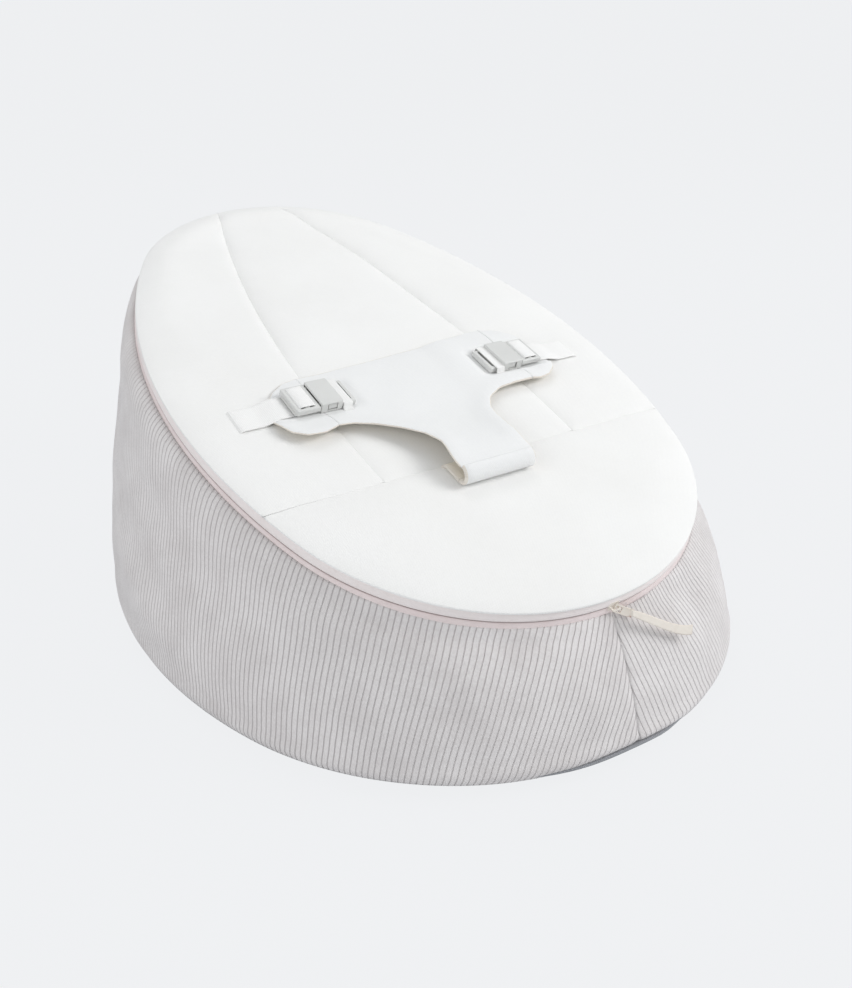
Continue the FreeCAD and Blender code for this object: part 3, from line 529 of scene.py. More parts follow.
def bag_rings(inset, floor, top, top_inset):
    """Rings of a body inside the wall, from the middle of its floor to the middle of its top."""
    rings = [base_ring(floor, floor_inset) for floor_inset in (240, 120, 70, 52 + inset)]
    rings += [base_ring(floor + 4.6, 30 + 1.3 * inset), base_ring(floor + 8, 17 + 1.3 * inset)]
    for share in (0, 0.15, 0.3, 0.46, 0.62, 0.74, 0.86):
        rings.append(wall_ring(share, bag_turns, inset + share**2 * top_inset + 5 * (share == 0))[0])
    for more in (0, 4, 30, 90, 160, 230):
        flat = rim_points(bag_turns, top_inset + more)[0]
        rings.append(seat(np.column_stack([flat, np.full(len(bag_turns), top - 2 * (more < 4))])))
    return np.array(rings)


liner_material = woven_cloth("liner cloth", (0.86, 0.86, 0.84), (0.7, 0.7, 0.69), 0.0008, 0.0002, 0.5)
liner_rings = bag_rings(4.4, 2.9, -2.8, 10)
liner_rings[4:-5] += (crumple(liner_rings[4:-5], 30, 5)[..., None] - 0.6) * 0.8 * (1, 1, 0)
liner = ringed("inner_bag", liner_rings)
liner.data.materials.append(liner_material)
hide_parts("bead_bag")
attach(liner, "bag")

beads = ringed("bead_mass", bag_rings(6.6, 4.6, -5, 13))
beads.data.materials.append(bead_filling())
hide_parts("bead_filling")
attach(beads, "bag")


# The zip round the rim: two pale pink tapes, one sewn to the corduroy and one to the top, whose inner
# edges fold back over the coils. A thin line of painted shade shows where they meet.


def tape_cloth(name, dark, light):
    """Pale twill tape: a fine slanting weave, its inner edge painted dark as shade where the tapes meet."""
    finish = Finish(name)
    along, across, _ = finish.parts_of(finish.cloth())
    twill = finish.math("SINE", (along + across * 1.4) * (2 * math.pi / 0.0013))
    fine = finish.math("SINE", along * (2 * math.pi / 0.0007))
    tone = finish.noise(finish.places(), 60, 3, 0.6)
    shade = finish.between(twill * 0.25 + tone * 0.8, 0.0, 0.9)
    colour = finish.blend(shade, dark, light)
    # The inner edge, where the two tapes meet, is painted dark as the shade in the gap between them
    inner = finish.between(finish.math("ABSOLUTE", across), 0.0005, 0.0)
    colour = finish.blend(inner * 0.7, colour, (0.40, 0.31, 0.30, 1))
    normal = finish.bump(twill * 0.4 + fine * 0.2 + tone, 0.00025)
    return finish.done(colour, 0.85, normal, Sheen_Weight=0.2, Sheen_Roughness=0.5)


all_round = np.linspace(-math.pi + 1e-5, math.pi - 1e-5, 6000)
zip_turns, zip_places = spaced(721, all_round, rim_points(all_round, 0)[0])
TAPE_HEIGHT, TAPE_HIDDEN = 7.7, 0.7
# Section of each tape: height from the middle of the zip, and inset from the rim
TAPE_SECTIONS = {
    1: [(0.35, 0.6), (0.4, -0.3), (0.9, -1.2), (1.9, -1.8), (3.2, -1.7), (4.8, -1.1), (6.4, -0.3),
        (7.5, 0.5), (7.7, 1.2), (6.4, 1.35), (4.4, 1.4), (2.2, 1.4), (0.8, 1.4)],
    -1: [(0.35, 0.6), (0.4, -0.1), (0.9, -0.7), (2.0, -1.2), (3.6, -1.7), (5.2, -2.0), (6.6, -1.9),
         (7.5, -0.8), (7.6, 1.0), (6.4, 1.35), (4.4, 1.4), (2.2, 1.4), (0.8, 1.4)],
}


def cover_foot(points):
    """Height of the top's lower edge over the zip: more of the tape shows at the sides than at the foot."""
    from_slider = np.hypot(points[:, 0], points[:, 1] + RIM_EGG[0])
    return 8.7 + 2.2 * np.clip((from_slider - 60) / 240, 0, 1)


def make_tape(name, side, finish):
    """Tape all round the rim, a little wavy from its sewing; the upper one ends just under the top."""
    wave = 0.2 * crumple(np.column_stack([zip_places, np.zeros((len(zip_places), 2))]), 60, 3 + side)
    rings, flat = [], []
    for high, inset in TAPE_SECTIONS[side]:
        spots = rim_points(zip_turns, inset - wave)[0]
        stretch = (cover_foot(spots) + TAPE_HIDDEN) / TAPE_HEIGHT if side > 0 else -1
        rings.append(np.column_stack([spots, high * stretch + wave]))
        flat.append(np.column_stack([zip_places, np.full(len(spots), side * (high - 0.45))]))
    tape = ringed(name, seat(np.stack(rings, 1)), np.stack(flat, 1))
    tape.data.materials.append(finish)
    return tape


pink_tape = tape_cloth("pink zip tape", (0.90, 0.763, 0.745, 1), (0.98, 0.885, 0.87, 1))
pale_tape = tape_cloth("pale zip tape", (0.93, 0.845, 0.82, 1), (0.985, 0.93, 0.915, 1))
for tape_name, side, tape_finish in (("lower_zip_tape", -1, pink_tape), ("upper_zip_tape", 1, pale_tape)):
    tape = make_tape(f"{tape_name}_cloth", side, tape_finish)
    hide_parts(tape_name)
    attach(tape, "bag")


# The zip's coils: each is one nylon monofilament wound in small loops along the back of its tape.


def set_inputs(modifier, group, values):
    """Sets a Geometry Nodes modifier's inputs by the names that its tree gives them."""
    for item in group.interface.items_tree:
        if item.item_type == "SOCKET" and item.in_out == "INPUT" and item.name in values:
            modifier[item.identifier] = values[item.name]


def new_tree(name, sizes):
    """Geometry tree that has a path, named sizes and a finish as its inputs."""
    group = bpy.data.node_groups.new(name, "GeometryNodeTree")
    group.interface.new_socket("Path", in_out="INPUT", socket_type="NodeSocketGeometry")
    for key, value in sizes.items():
        group.interface.new_socket(key, in_out="INPUT", socket_type="NodeSocketFloat").default_value = value
    group.interface.new_socket("Finish", in_out="INPUT", socket_type="NodeSocketMaterial")
    group.interface.new_socket("Pieces", in_out="OUTPUT", socket_type="NodeSocketGeometry")
    return group, add_node(group, "NodeGroupInput").outputs


def coil_tree():
    """Geometry tree that winds a thread in small loops along a path."""
    group, sizes = new_tree("zip coil", {"Spacing": 0.0014, "Loop": 0.0007, "Thread": 0.00022})

    def add(kind, settings=None, **values):
        values = {key.replace("_", " "): value for key, value in values.items()}
        return add_node(group, kind, settings, values).outputs

    circle = "GeometryNodeCurvePrimitiveCircle"
    loop = add(circle, Resolution=6, Radius=sizes["Loop"])[0]
    upright = add("GeometryNodeTransform", Geometry=loop, Rotation=(0, math.pi / 2, 0))[0]
    section = add(circle, Resolution=4, Radius=sizes["Thread"])[0]
    round_loop = add("GeometryNodeCurveToMesh", Curve=upright, Profile_Curve=section)[0]
    curve = add("GeometryNodeMeshToCurve", Mesh=sizes["Path"])[0]
    points = add("GeometryNodeCurveToPoints", {"mode": "LENGTH"}, Curve=curve, Length=sizes["Spacing"])
    turn = add("FunctionNodeAlignRotationToVector", {"axis": "X"}, Vector=points["Tangent"])[0]
    placed = add("GeometryNodeInstanceOnPoints", Points=points["Points"], Instance=round_loop,
                 Rotation=turn)[0]
    real = add("GeometryNodeRealizeInstances", Geometry=placed)[0]
    dressed = add("GeometryNodeSetMaterial", Geometry=real, Material=sizes["Finish"])[0]
    add_node(group, "NodeGroupOutput", values={0: dressed})
    return group


def along_path(name, path, group, values):
    """Plain mesh of what a Geometry Nodes tree makes along a path in millimetres."""
    edges = [(number, number + 1) for number in range(len(path) - 1)]
    mesh = bpy.data.meshes.new(f"{name}_path")
    mesh.from_pydata((path * 0.001).tolist(), edges, [])
    obj = bpy.data.objects.new(name, mesh)
    bpy.context.scene.collection.objects.link(obj)
    modifier = obj.modifiers.new("along the path", "NODES")
    modifier.node_group = group
    set_inputs(modifier, group, values)
    made = bpy.data.meshes.new_from_object(obj.evaluated_get(bpy.context.evaluated_depsgraph_get()))
    obj.modifiers.clear()
    obj.data = made
    made.name = name
    made.shade_smooth()
    return obj


def coil_plastic():
    finish = Finish("zip coil nylon")
    tone = finish.noise(finish.places(), 300, 2)
    colour = finish.blend(tone, (0.5, 0.42, 0.4, 1), (0.66, 0.57, 0.55, 1))
    return finish.done(colour, 0.45)


coil_material = coil_plastic()
zip_coil_tree = coil_tree()
COIL_INSET, COIL_HEIGHT = 2.2, 1.25
for coil_name, side in (("lower_zip_coil", -1), ("upper_zip_coil", 1)):
    coil_spots = rim_points(zip_turns, COIL_INSET)[0]
    coil_path = np.column_stack([coil_spots, np.full(len(zip_turns), side * COIL_HEIGHT)])
    coil = along_path(f"{coil_name}_loops", seat(coil_path), zip_coil_tree,
                      {"Spacing": 0.0014, "Loop": 0.0006, "Thread": 0.0002, "Finish": coil_material})
    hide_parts(coil_name)
    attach(coil, "bag")


# The padded top: four panels of white cotton over thin wadding, joined by two long curved seams from
# head to foot and one straight seam across, where the crotch strap comes through. Each panel puffs up
# a little between its seams, and the edge rolls down to the zip.

CROSS_SEAM = -177.0
SEAM_GAP = 0.05
SEAM_RADIUS = 1550
SEAM_MIDDLE = (113 - SEAM_RADIUS, -100)
TOP_HEIGHT, TOP_EDGE_WIDTH = 15.9, 38.6
PUFF, HEAD_RISE, SEAM_DIP, PUCKER = 2.6, 1.2, 2.4, 0.22


def nearest(points, outline):
    """Nearest place on a closed outline for each point, how far it is, and the way out of the outline."""
    start, end = outline, np.roll(outline, -1, axis=0)
    way = end - start
    squared = np.maximum((way**2).sum(1), 1e-12)
    found, away, out = np.empty_like(points), np.empty(len(points)), np.empty_like(points)
    for first in range(0, len(points), 4000):
        part = points[first:first + 4000]
        share = np.clip(((part[:, None] - start) * way).sum(2) / squared, 0, 1)
        on = start + share[..., None] * way
        apart = ((part[:, None] - on) ** 2).sum(2)
        best = apart.argmin(1)
        rows = np.arange(len(part))
        found[first:first + 4000] = on[rows, best]
        away[first:first + 4000] = np.sqrt(apart[rows, best])
        out[first:first + 4000] = np.stack([way[best, 1], -way[best, 0]], -1)
    return found, away, out / np.maximum(np.linalg.norm(out, axis=1), 1e-9)[:, None]


def is_inside(points, outline):
    """Whether each point lies inside a closed outline."""
    start, end = outline, np.roll(outline, -1, axis=0)
    x, y = points[:, None, 0], points[:, None, 1]
    spans = (start[:, 1] > y) != (end[:, 1] > y)
    rise = np.where(end[:, 1] == start[:, 1], 1e-9, end[:, 1] - start[:, 1])
    crossing = start[:, 0] + (y - start[:, 1]) * (end[:, 0] - start[:, 0]) / rise
    return (spans & (x < crossing)).sum(1) % 2 == 1


def evenly(outline, step):
    """The same outline with its points about a step apart."""
    closed = np.concatenate([outline, outline[:1]])
    gone = distances(closed)
    places = np.linspace(0, gone[-1], max(int(gone[-1] / step), 8), endpoint=False)
    return np.column_stack([np.interp(places, gone, closed[:, axis]) for axis in (0, 1)])


def cut_cloth(outline, step, corners):
    """Near-square faces that fill an anticlockwise outline, with the rim of the mesh on it."""
    low, high = outline.min(0) - step, outline.max(0) + step
    counts = np.ceil((high - low) / step).astype(int) + 1
    xs, ys = low[0] + step * np.arange(counts[0]), low[1] + step * np.arange(counts[1])
    middles = np.stack(np.meshgrid(xs[:-1] + step / 2, ys[:-1] + step / 2, indexing="ij"), -1)
    full = is_inside(middles.reshape(-1, 2), outline).reshape(counts - 1)
    index = np.arange(counts[0] * counts[1]).reshape(counts)
    quads = np.stack([index[:-1, :-1], index[1:, :-1], index[1:, 1:], index[:-1, 1:]], -1)[full]
    used, quads = np.unique(quads, return_inverse=True)
    quads = quads.reshape(-1, 4)
    points = np.stack(np.meshgrid(xs, ys, indexing="ij"), -1).reshape(-1, 2)[used]
    sides = np.concatenate([quads[:, [a, (a + 1) % 4]] for a in range(4)])
    keys = sides.min(1).astype(np.int64) * len(points) + sides.max(1)
    _, first, times = np.unique(keys, return_index=True, return_counts=True)
    rim = sides[first[times == 1]]
    on_rim = np.zeros(len(points), bool)
    on_rim[rim] = True
    inner = sides[~(on_rim[sides].all(1))]
    held = []
    points[on_rim] = nearest(points[on_rim], outline)[0]
    for corner in corners:
        rims = np.flatnonzero(on_rim)
        held.append(rims[((points[rims] - corner) ** 2).sum(1).argmin()])
        points[held[-1]] = corner
    for _ in range(14):
        total, number = np.zeros_like(points), np.zeros(len(points))
        for one, other in ((0, 1), (1, 0)):
            fixed = on_rim[inner[:, one]]
            np.add.at(total, inner[:, one], np.where(fixed[:, None], 0, points[inner[:, other]]))
            np.add.at(number, inner[:, one], ~fixed)
            np.add.at(total, rim[:, one], points[rim[:, other]])
            np.add.at(number, rim[:, one], 1)
        moved = total / np.maximum(number, 1)[:, None]
        moved[on_rim] = nearest(moved[on_rim], outline)[0]
        moved[held] = points[held]
        points = moved
    return points, quads, rim


def stuffed(name, outline, step, top, bottom, bulge, finishes, corners=(), is_cut=None):
    """Closed pad from an outline: top and bottom sheets at heights that depend on the place and on how
    far it is from the edge, and an edge between them that bulges outwards. Its finishes are those of the
    top, the bottom and the edge; an edge where the cloth is only cut in two has that of the top."""
    points, quads, rim = cut_cloth(outline, step, corners)
    _, away, out = nearest(points, outline)
    ends = np.unique(rim)
    to_ring = np.zeros(len(points), int)
    to_ring[ends] = np.arange(len(ends))
    upper = np.column_stack([points, top(points, away)])
    lower = np.column_stack([points, bottom(points, away)])
    layers = [upper]
    for turn in (0.25, 0.5, 0.75):
        high = upper[ends, 2] + (lower[ends, 2] - upper[ends, 2]) * (1 - math.cos(turn * math.pi)) / 2
        spots = points[ends] + out[ends] * bulge * math.sin(turn * math.pi)
        layers.append(np.column_stack([spots, high]))
    everything = np.concatenate(layers + [lower])
    count, around = len(points), len(ends)
    levels = [lambda end: end] + [lambda end, k=k: count + k * around + to_ring[end] for k in range(3)]
    levels.append(lambda end: count + 3 * around + end)
    faces = quads.tolist() + levels[-1](quads[:, ::-1]).tolist()
    starts, stops = rim.T
    for above, below in zip(levels, levels[1:]):
        faces += np.stack([above(stops), above(starts), below(starts), below(stops)], -1).tolist()
    obj = make_piece(name, seat(everything), faces, everything[:, :2])
    for finish in finishes:
        obj.data.materials.append(finish)
    if is_cut:
        edge_kinds = np.where(is_cut(points[rim].mean(1)), 0, 2)
        kinds = np.concatenate([np.repeat([0, 1], len(quads)), np.tile(edge_kinds, 4)])
        obj.data.polygons.foreach_set("material_index", kinds)
    crease = np.zeros(len(everything))
    for corner in corners:
        spot = ends[((points[ends] - corner) ** 2).sum(1).argmin()]
        crease[[level(spot) for level in levels]] = 1
    obj.data.attributes.new("crease_vert", "FLOAT", "POINT").data.foreach_set("value", crease)
    return obj


def softened(obj):
    """Rounds a pad's faces by subdivision."""
    finer = obj.modifiers.new("soft", "SUBSURF")
    finer.levels = finer.render_levels = 1


def seam_x(y):
    """How far out the long seams are at a place along the seat."""
    return SEAM_MIDDLE[0] + np.sqrt(SEAM_RADIUS**2 - (y - SEAM_MIDDLE[1]) ** 2)


cover_turns = np.linspace(-math.pi, math.pi, 3000, endpoint=False)
cover_rim = rim_points(cover_turns, -1.3)[0]


def cover_top(points, _=None):
    """Height of the top: rolled edge, puffed panels, seams that pull down, and small puckers beside them."""
    x, y = points[:, 0], points[:, 1]
    from_rim = nearest(points, cover_rim[::6])[1]
    share = np.clip(from_rim / TOP_EDGE_WIDTH, 0, 1)
    edge = (1 - (1 - share) ** 2.1) ** (1 / 2.6)
    from_side = np.abs(np.hypot(np.abs(x) - SEAM_MIDDLE[0], y - SEAM_MIDDLE[1]) - SEAM_RADIUS)
    from_side = np.where(y > CROSS_SEAM - 2, from_side, np.hypot(from_side, y - CROSS_SEAM))
    from_cross = np.abs(y - CROSS_SEAM)
    from_seam = np.minimum(from_side, from_cross)
    # The panels lie flat under the harness and straps, and puff up away from them
    from_harness = np.hypot(np.maximum(np.abs(x) - 205, 0), np.maximum(np.maximum(y, -222 - y), 0))
    free = smooth(from_harness / 60)
    puff = (1 - np.exp(-from_seam / 30)) * smooth(from_rim / 60)
    roll = bell(from_rim - 26, 20)
    head = smooth((y - 60) / 240)
    foot = cover_foot(points)
    high = foot + (TOP_HEIGHT - foot) * np.maximum(edge, 0.3)
    high = high + free * puff * PUFF + roll * (0.4 + 3.6 * head) + HEAD_RISE * head * smooth(from_rim / 40)
    along = np.where(from_side < from_cross, y, x)
    spots = np.column_stack([points, np.zeros(len(points))])
    waves = np.sin(along / 2.6 + 4 * crumple(spots, 30, 7))
    pucker = waves * bell(from_seam, 9) * PUCKER * smooth(from_rim / 30)
    soft = (crumple(spots, 70, 8) * 1.5 + crumple(spots, 26, 9) * 0.45) * share
    dip = (SEAM_DIP * bell(from_seam, 3.2) + 1.3 * bell(from_seam, 12)) * smooth(from_rim / 16)
    return high + pucker + soft * (0.25 + 0.75 * free) * (0.35 + 0.65 * free) - dip * (0.55 + 0.45 * free)


def cover_bottom(points, _=None):
    """Height of the top's underside, over the tape's edge at the rim."""
    from_rim = nearest(points, cover_rim[::6])[1]
    under = np.interp(from_rim, [0, 12, 28, 60], [0, 1.2, 2.4, 2.4]) + cover_foot(points)
    return np.minimum(under, cover_top(points) - 1)


white_cotton = woven_cloth("white cotton", (0.915, 0.91, 0.895), (0.84, 0.83, 0.81), 0.0009, 0.00012, 0.5,
                           sheen=0.1)
rim_y = cover_rim[:, 1]
beyond = seam_x(rim_y)
front_edge, back_edge = CROSS_SEAM - SEAM_GAP, CROSS_SEAM + SEAM_GAP
front_arc = cover_rim[rim_y < front_edge]
front_outline = np.concatenate([front_arc, [[front_arc[-1, 0], front_edge], [front_arc[0, 0], front_edge]]])


def side_panel(side):
    """Outline of a side panel, anticlockwise from its front corner on the right, mirrored on the left."""
    rim = cover_rim * (side, 1)
    arc = rim[(rim_y > back_edge) & (rim[:, 0] > beyond + SEAM_GAP)]
    arc = arc[np.argsort(arc[:, 1])]
    seam_down = np.linspace(arc[-1, 1], back_edge, 200)
    outline = np.concatenate([arc, np.column_stack([seam_x(seam_down) + SEAM_GAP, seam_down])]) * (side, 1)
    return outline[::side], [outline[0], outline[-1], outline[len(arc) - 1]]


head_arc = cover_rim[(rim_y > 0) & (np.abs(cover_rim[:, 0]) < beyond - SEAM_GAP)]
head_arc = head_arc[np.argsort(-head_arc[:, 0])]
seam_up = np.linspace(back_edge, head_arc[0, 1], 200)
seam_back = np.linspace(head_arc[-1, 1], back_edge, 200)
right_edge = np.column_stack([seam_x(seam_up) - SEAM_GAP, seam_up])
left_edge = np.column_stack([SEAM_GAP - seam_x(seam_back), seam_back])
back_outline = np.concatenate([right_edge, head_arc, left_edge])
cover_panels = {
    "front_cover": (front_outline, [front_outline[-1], front_outline[-2]]),
    "back_cover": (back_outline, [right_edge[0], right_edge[-1], left_edge[0], left_edge[-1]]),
    "side_cover_right": side_panel(1),
    "side_cover_left": side_panel(-1),
}
for panel_name, (panel_outline, panel_corners) in cover_panels.items():
    panel = stuffed(f"{panel_name}_panel", evenly(panel_outline, 2.5), 5.0, cover_top, cover_bottom, 0.25,
                    [white_cotton], corners=panel_corners)
    softened(panel)
    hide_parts(panel_name)
    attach(panel, "bag")


# Under the top: a soft pad of white wadding, and the patches of strong cloth that are sewn under the
# strap slits and the crotch slit to take their pull. None of them shows.

wadding = woven_cloth("wadding", (0.9, 0.9, 0.88), (0.78, 0.78, 0.76), 0.0016, 0.0006, 0.8)
patch_cloth = woven_cloth("patch cloth", (0.86, 0.86, 0.84), (0.7, 0.7, 0.68), 0.001, 0.0003, 0.5)
pad_outline = evenly(rim_points(cover_turns, 8)[0], 4)
PAD_HEIGHT, PAD_THINNING, PAD_FOOT, PATCH_ROOM = 11.2, 4, -1.9, 1.8


def pad_top(points, away):
    """Height of the pad, which thins towards its edge and is hollowed under the patches."""
    x, y = np.abs(points[:, 0]), points[:, 1]
    by_strap = (x > 190) & (x < 218) & (y > -83) & (y < -23)
    by_crotch = (x < 58) & (np.abs(y - CROSS_SEAM) < 15)
    return PAD_HEIGHT - PAD_THINNING * (1 - smooth(away / 24)) - PATCH_ROOM * (by_strap | by_crotch)


def pad_bottom(points, _):
    return np.full(len(points), PAD_FOOT)


pad = stuffed("seat_pad", pad_outline, 7.0, pad_top, pad_bottom, 1.6, [wadding])
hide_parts("seat_padding")
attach(pad, "bag")


def refinished(kinds, finish):
    """Gives the finish to every CAD piece whose name starts with one of these kinds."""
    for node_name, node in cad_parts.items():
        if node_name.startswith(kinds):
            for material_slot in node.material_slots:
                material_slot.material = finish


refinished(("strap_anchor", "crotch_anchor"), patch_cloth)


# The harness: a T-shaped padded panel of the same white cotton. Its neck folds over from the crotch
# strap, which is sewn into the cross seam, and an ear at the end of each wing lies under a buckle.

SEAT_TOP = 16.3
FOLD_X, FOLD_Y, FOLD_Z, FOLD_RADIUS = -9, -205.3, 26.8, 8.2
FOLD_SIZE, CROTCH_SIZE = (82, 4.6), (81.6, 3.8)
PANEL_THICK, EDGE_LIFT = 3.9, 5.5
harness_cloth = woven_cloth("harness cotton", (0.885, 0.885, 0.88), (0.81, 0.81, 0.80), 0.0009, 0.00015, 0.5)
# The harness's underside, the crotch strap and the fold's inner face are painted tan to give the warm shade
# under the lifted panel
underside_shade_cloth = woven_cloth("harness underside painted shade", (0.88, 0.83, 0.74), (0.80, 0.74, 0.64), 0.0009, 0.00015, 0.5)
binding_cloth = woven_cloth("edge binding", (0.84, 0.79, 0.72), (0.72, 0.66, 0.58), 0.0006, 0.0002, 0.6)

# Outlines in the plane of the seat: the panel from its fold round its right leg edge, upper edge and
# left leg edge, and the two ears
PANEL = [(32, -205.5), (31, -188), (30.5, -168), (33.5, -148), (40, -128), (52, -111), (72, -100), (95, -97),
         (117.4, -97), (117.4, 5), (90, 3.5), (45, 0), (0, -4), (-45, -7.5), (-90, -10), (-117.4, -10),
         (-117.4, -101), (-104, -103), (-85, -114), (-67, -131), (-53, -150), (-48, -168), (-50, -187),
         (-50, -205.5)]
RIGHT_EAR = [(118.4, -97), (128, -99), (141, -97), (153, -88), (161, -71), (164, -53), (161, -34), (152, -14),
             (137, -1), (118.4, 5)]
LEFT_EAR = [(-118.4, -10), (-134, -13), (-150, -24), (-163, -40), (-170, -58), (-170, -78), (-164, -95),
            (-152, -105), (-136, -107), (-118.4, -101)]


def rounded(points, step):
    """Outline through the same points with its bends eased, its points about a step apart."""
    line = evenly(np.array(points, float), step)
    for _ in range(int(5 / step)):
        eased = (np.roll(line, 1, axis=0) + line * 2 + np.roll(line, -1, axis=0)) / 4
        corner = np.array([np.linalg.norm(np.array(points) - spot, axis=1).min() < step for spot in line])
        sharp = corner & (np.abs(line[:, 0]) > 116) | (line[:, 1] < -203)
        line = np.where(sharp[:, None], line, eased)
    return line


whole_harness = np.array([(32, -300), *PANEL[:9], *RIGHT_EAR[1:-1], *PANEL[9:16], *LEFT_EAR[1:-1],
                          *PANEL[16:], (-50, -300)], float)


def panel_lift(points):
    """Height of the panel's underside: up at the fold, down to the seat, and lifted at the leg edges."""
    x, y = points[:, 0], points[:, 1]
    away = nearest(points, whole_harness)[1]
    share = np.clip((y + 205) / (114 + 24 * smooth((-x - 5) / 45)), 0, 1)
    edge = EDGE_LIFT * bell(away, 15) * smooth((-64 - y) / 18) * smooth((y + 202) / 30)
    return SEAT_TOP + 8.5 * (1 + np.cos(math.pi * share)) + edge


def harness_top(points, _):
    """Height of the harness: padded between its hems, fuller on the right wing, and flat at the buckles."""
    x, y = points[:, 0], points[:, 1]
    away = nearest(points, whole_harness)[1]
    by_buckle = smooth((np.abs(x) - 68) / 12) * smooth((29 - np.abs(y + 53)) / 10)
    spots = np.column_stack([points, np.full(len(points), 3.0)])
    puff = (1.4 * smooth(away / 20) + 0.8 * crumple(spots, 34, 11)) * smooth((y + 206) / 28)
    wing = 3.0 * smooth((x - 30) / 30) * smooth((y + 110) / 40)
    hem = 0.6 * bell(away - 4.2, 1.1)
    high = panel_lift(points) + PANEL_THICK + (puff + wing - hem) * (1 - by_buckle)
    return high - 1.3 * np.exp(-away / 2.0)


def harness_bottom(points, _):
    return panel_lift(points) + 0.1 + np.exp(-nearest(points, whole_harness)[1] / 2.0)


def at_ear_or_fold(spots):
    """Whether places on the edge are where the panel meets an ear or its fold."""
    return (np.abs(np.abs(spots[:, 0]) - 117.9) < 0.9) | (spots[:, 1] < -205)


harness_finishes = [harness_cloth, underside_shade_cloth, binding_cloth]
# Each pad's name, outline, spacing of the outline's points and of the cloth's, and sharp corners
HARNESS_PADS = {
    "harness_panel": ("harness_panel_pad", PANEL, 1.2, 2.6, (0, -1, 8, 9, 15, 16)),
    "ear_pad_right": ("ear_pad_right_flap", RIGHT_EAR, 1.0, 2.2, (0, -1)),
    "ear_pad_left": ("ear_pad_left_flap", LEFT_EAR, 1.0, 2.2, (0, -1)),
}
for harness_node, (pad_name, outline, spacing, step, sharp) in HARNESS_PADS.items():
    harness_pad = stuffed(pad_name, rounded(outline, spacing), step, harness_top, harness_bottom, 0.8,
                          harness_finishes, [outline[place] for place in sharp], at_ear_or_fold)
    softened(harness_pad)
    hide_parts(harness_node)
    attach(harness_pad, "harness")


FACE_POINTS = 12
RIBBON_AROUND = 2 * FACE_POINTS + 2


def ribbon(name, path, across, width, thick, place=seat):
    """Flat strap along a path, with rounded edges; its UV map runs along and across it."""
    path, across = np.asarray(path, float), np.asarray(across, float)
    ups = np.cross(np.gradient(path, axis=0), across)
    ups /= np.linalg.norm(ups, axis=1)[:, None]
    widths = np.broadcast_to(np.asarray(width, float), len(path))
    face = np.linspace(-1, 1, FACE_POINTS)
    rings, flat = [], []
    for spot, up, wide, along in zip(path, ups, widths, distances(path)):
        half, lift, edge = across * (wide - thick) / 2, up * thick / 2, across * wide / 2
        rings.append([*(spot + half * x + lift for x in face), spot + edge,
                      *(spot + half * x - lift for x in face[::-1]), spot - edge])
        flat.append([(along, wide / 2 * x) for x in [*face, 1, *face[::-1], -1]])
    return ringed(name, place(np.array(rings)), flat)


def lined(strap, inner, outer):
    """Gives a ribbon one material on each face, with binding along its edges."""
    for finish in harness_finishes:
        strap.data.materials.append(finish)
    edge = [harness_finishes.index(binding_cloth)] * 2
    around = [inner] * (FACE_POINTS - 1) + edge + [outer] * (FACE_POINTS - 1) + edge
    rows = len(strap.data.polygons) // RIBBON_AROUND - 2
    strap.data.polygons.foreach_set("material_index", around * rows + [0] * (2 * RIBBON_AROUND))


flat_run = np.column_stack([np.full(8, FOLD_X), np.linspace(-183, -205, 8), np.full(8, SEAT_TOP + 2)])
rise_run = np.column_stack([np.full(8, FOLD_X), CROSS_SEAM - 0.1 - 4.4 * smooth(np.linspace(0, 1, 8)),
                            np.linspace(12.3, 17.9, 8)])
strap_run = np.concatenate([rise_run[:-1], flat_run])
crotch = ribbon("crotch_strap_pad", strap_run, (1, 0, 0), *CROTCH_SIZE)
lined(crotch, 1, 1)
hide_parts("crotch_strap")
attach(crotch, "bag")

fold_turns = np.linspace(0, math.pi, 22)
fold_line = np.column_stack([np.full(22, FOLD_X), FOLD_Y - FOLD_RADIUS * np.sin(fold_turns),
                             FOLD_Z - FOLD_RADIUS * np.cos(fold_turns)])
fold = ribbon("crotch_fold_pad", fold_line, (1, 0, 0), *FOLD_SIZE)
lined(fold, 1, 0)
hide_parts("crotch_fold")
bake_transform(fold)


# The buckles: side-release buckles moulded in light grey plastic. The socket's tail lies under a tape
# sewn across it, and the strap is looped round the plug's middle bar.


def moulded_plastic():
    finish = Finish("moulded grey plastic")
    places = finish.places()
    grain = finish.noise(places, 1600, 2, 0.6)
    flow = finish.noise(places, 30, 2)
    colour = finish.blend(flow, (0.64, 0.64, 0.62, 1), (0.72, 0.72, 0.70, 1))
    return finish.done(colour, 0.32 + grain * 0.14, finish.bump(grain, 0.00008), Coat_Weight=0.05)


refinished(("buckle_socket", "buckle_plug", "front_latch", "rear_latch"), moulded_plastic())


def webbing():
    """White polyester webbing: fine ribs across it, and a plain woven edge."""
    finish = Finish("white webbing")
    along, across, _ = finish.parts_of(finish.cloth())
    ribs = finish.math("SINE", along * (2 * math.pi / 0.0017))
    cords = finish.math("SINE", across * (2 * math.pi / 0.0024))
    tone = finish.noise(finish.places(), 35, 3, 0.6)
    shade = finish.between(ribs * 0.18 + cords * 0.1 + tone * 0.7, 0.0, 0.7)
    colour = finish.blend(shade, (0.87, 0.86, 0.84, 1), (0.925, 0.92, 0.905, 1))
    return finish.done(colour, 0.85, finish.bump(ribs * 0.6 + cords * 0.35, 0.0001), Sheen_Weight=0.15)


webbing_material = webbing()
BUCKLE_Y = -53
KEEPER_X, KEEPER_Z = 93.1, 20.6
KEEPER_SIZE, STRAP_SIZE, HEM_SIZE = (10.4, 1.1), (33.6, 1.7), (33.0, 1.6)
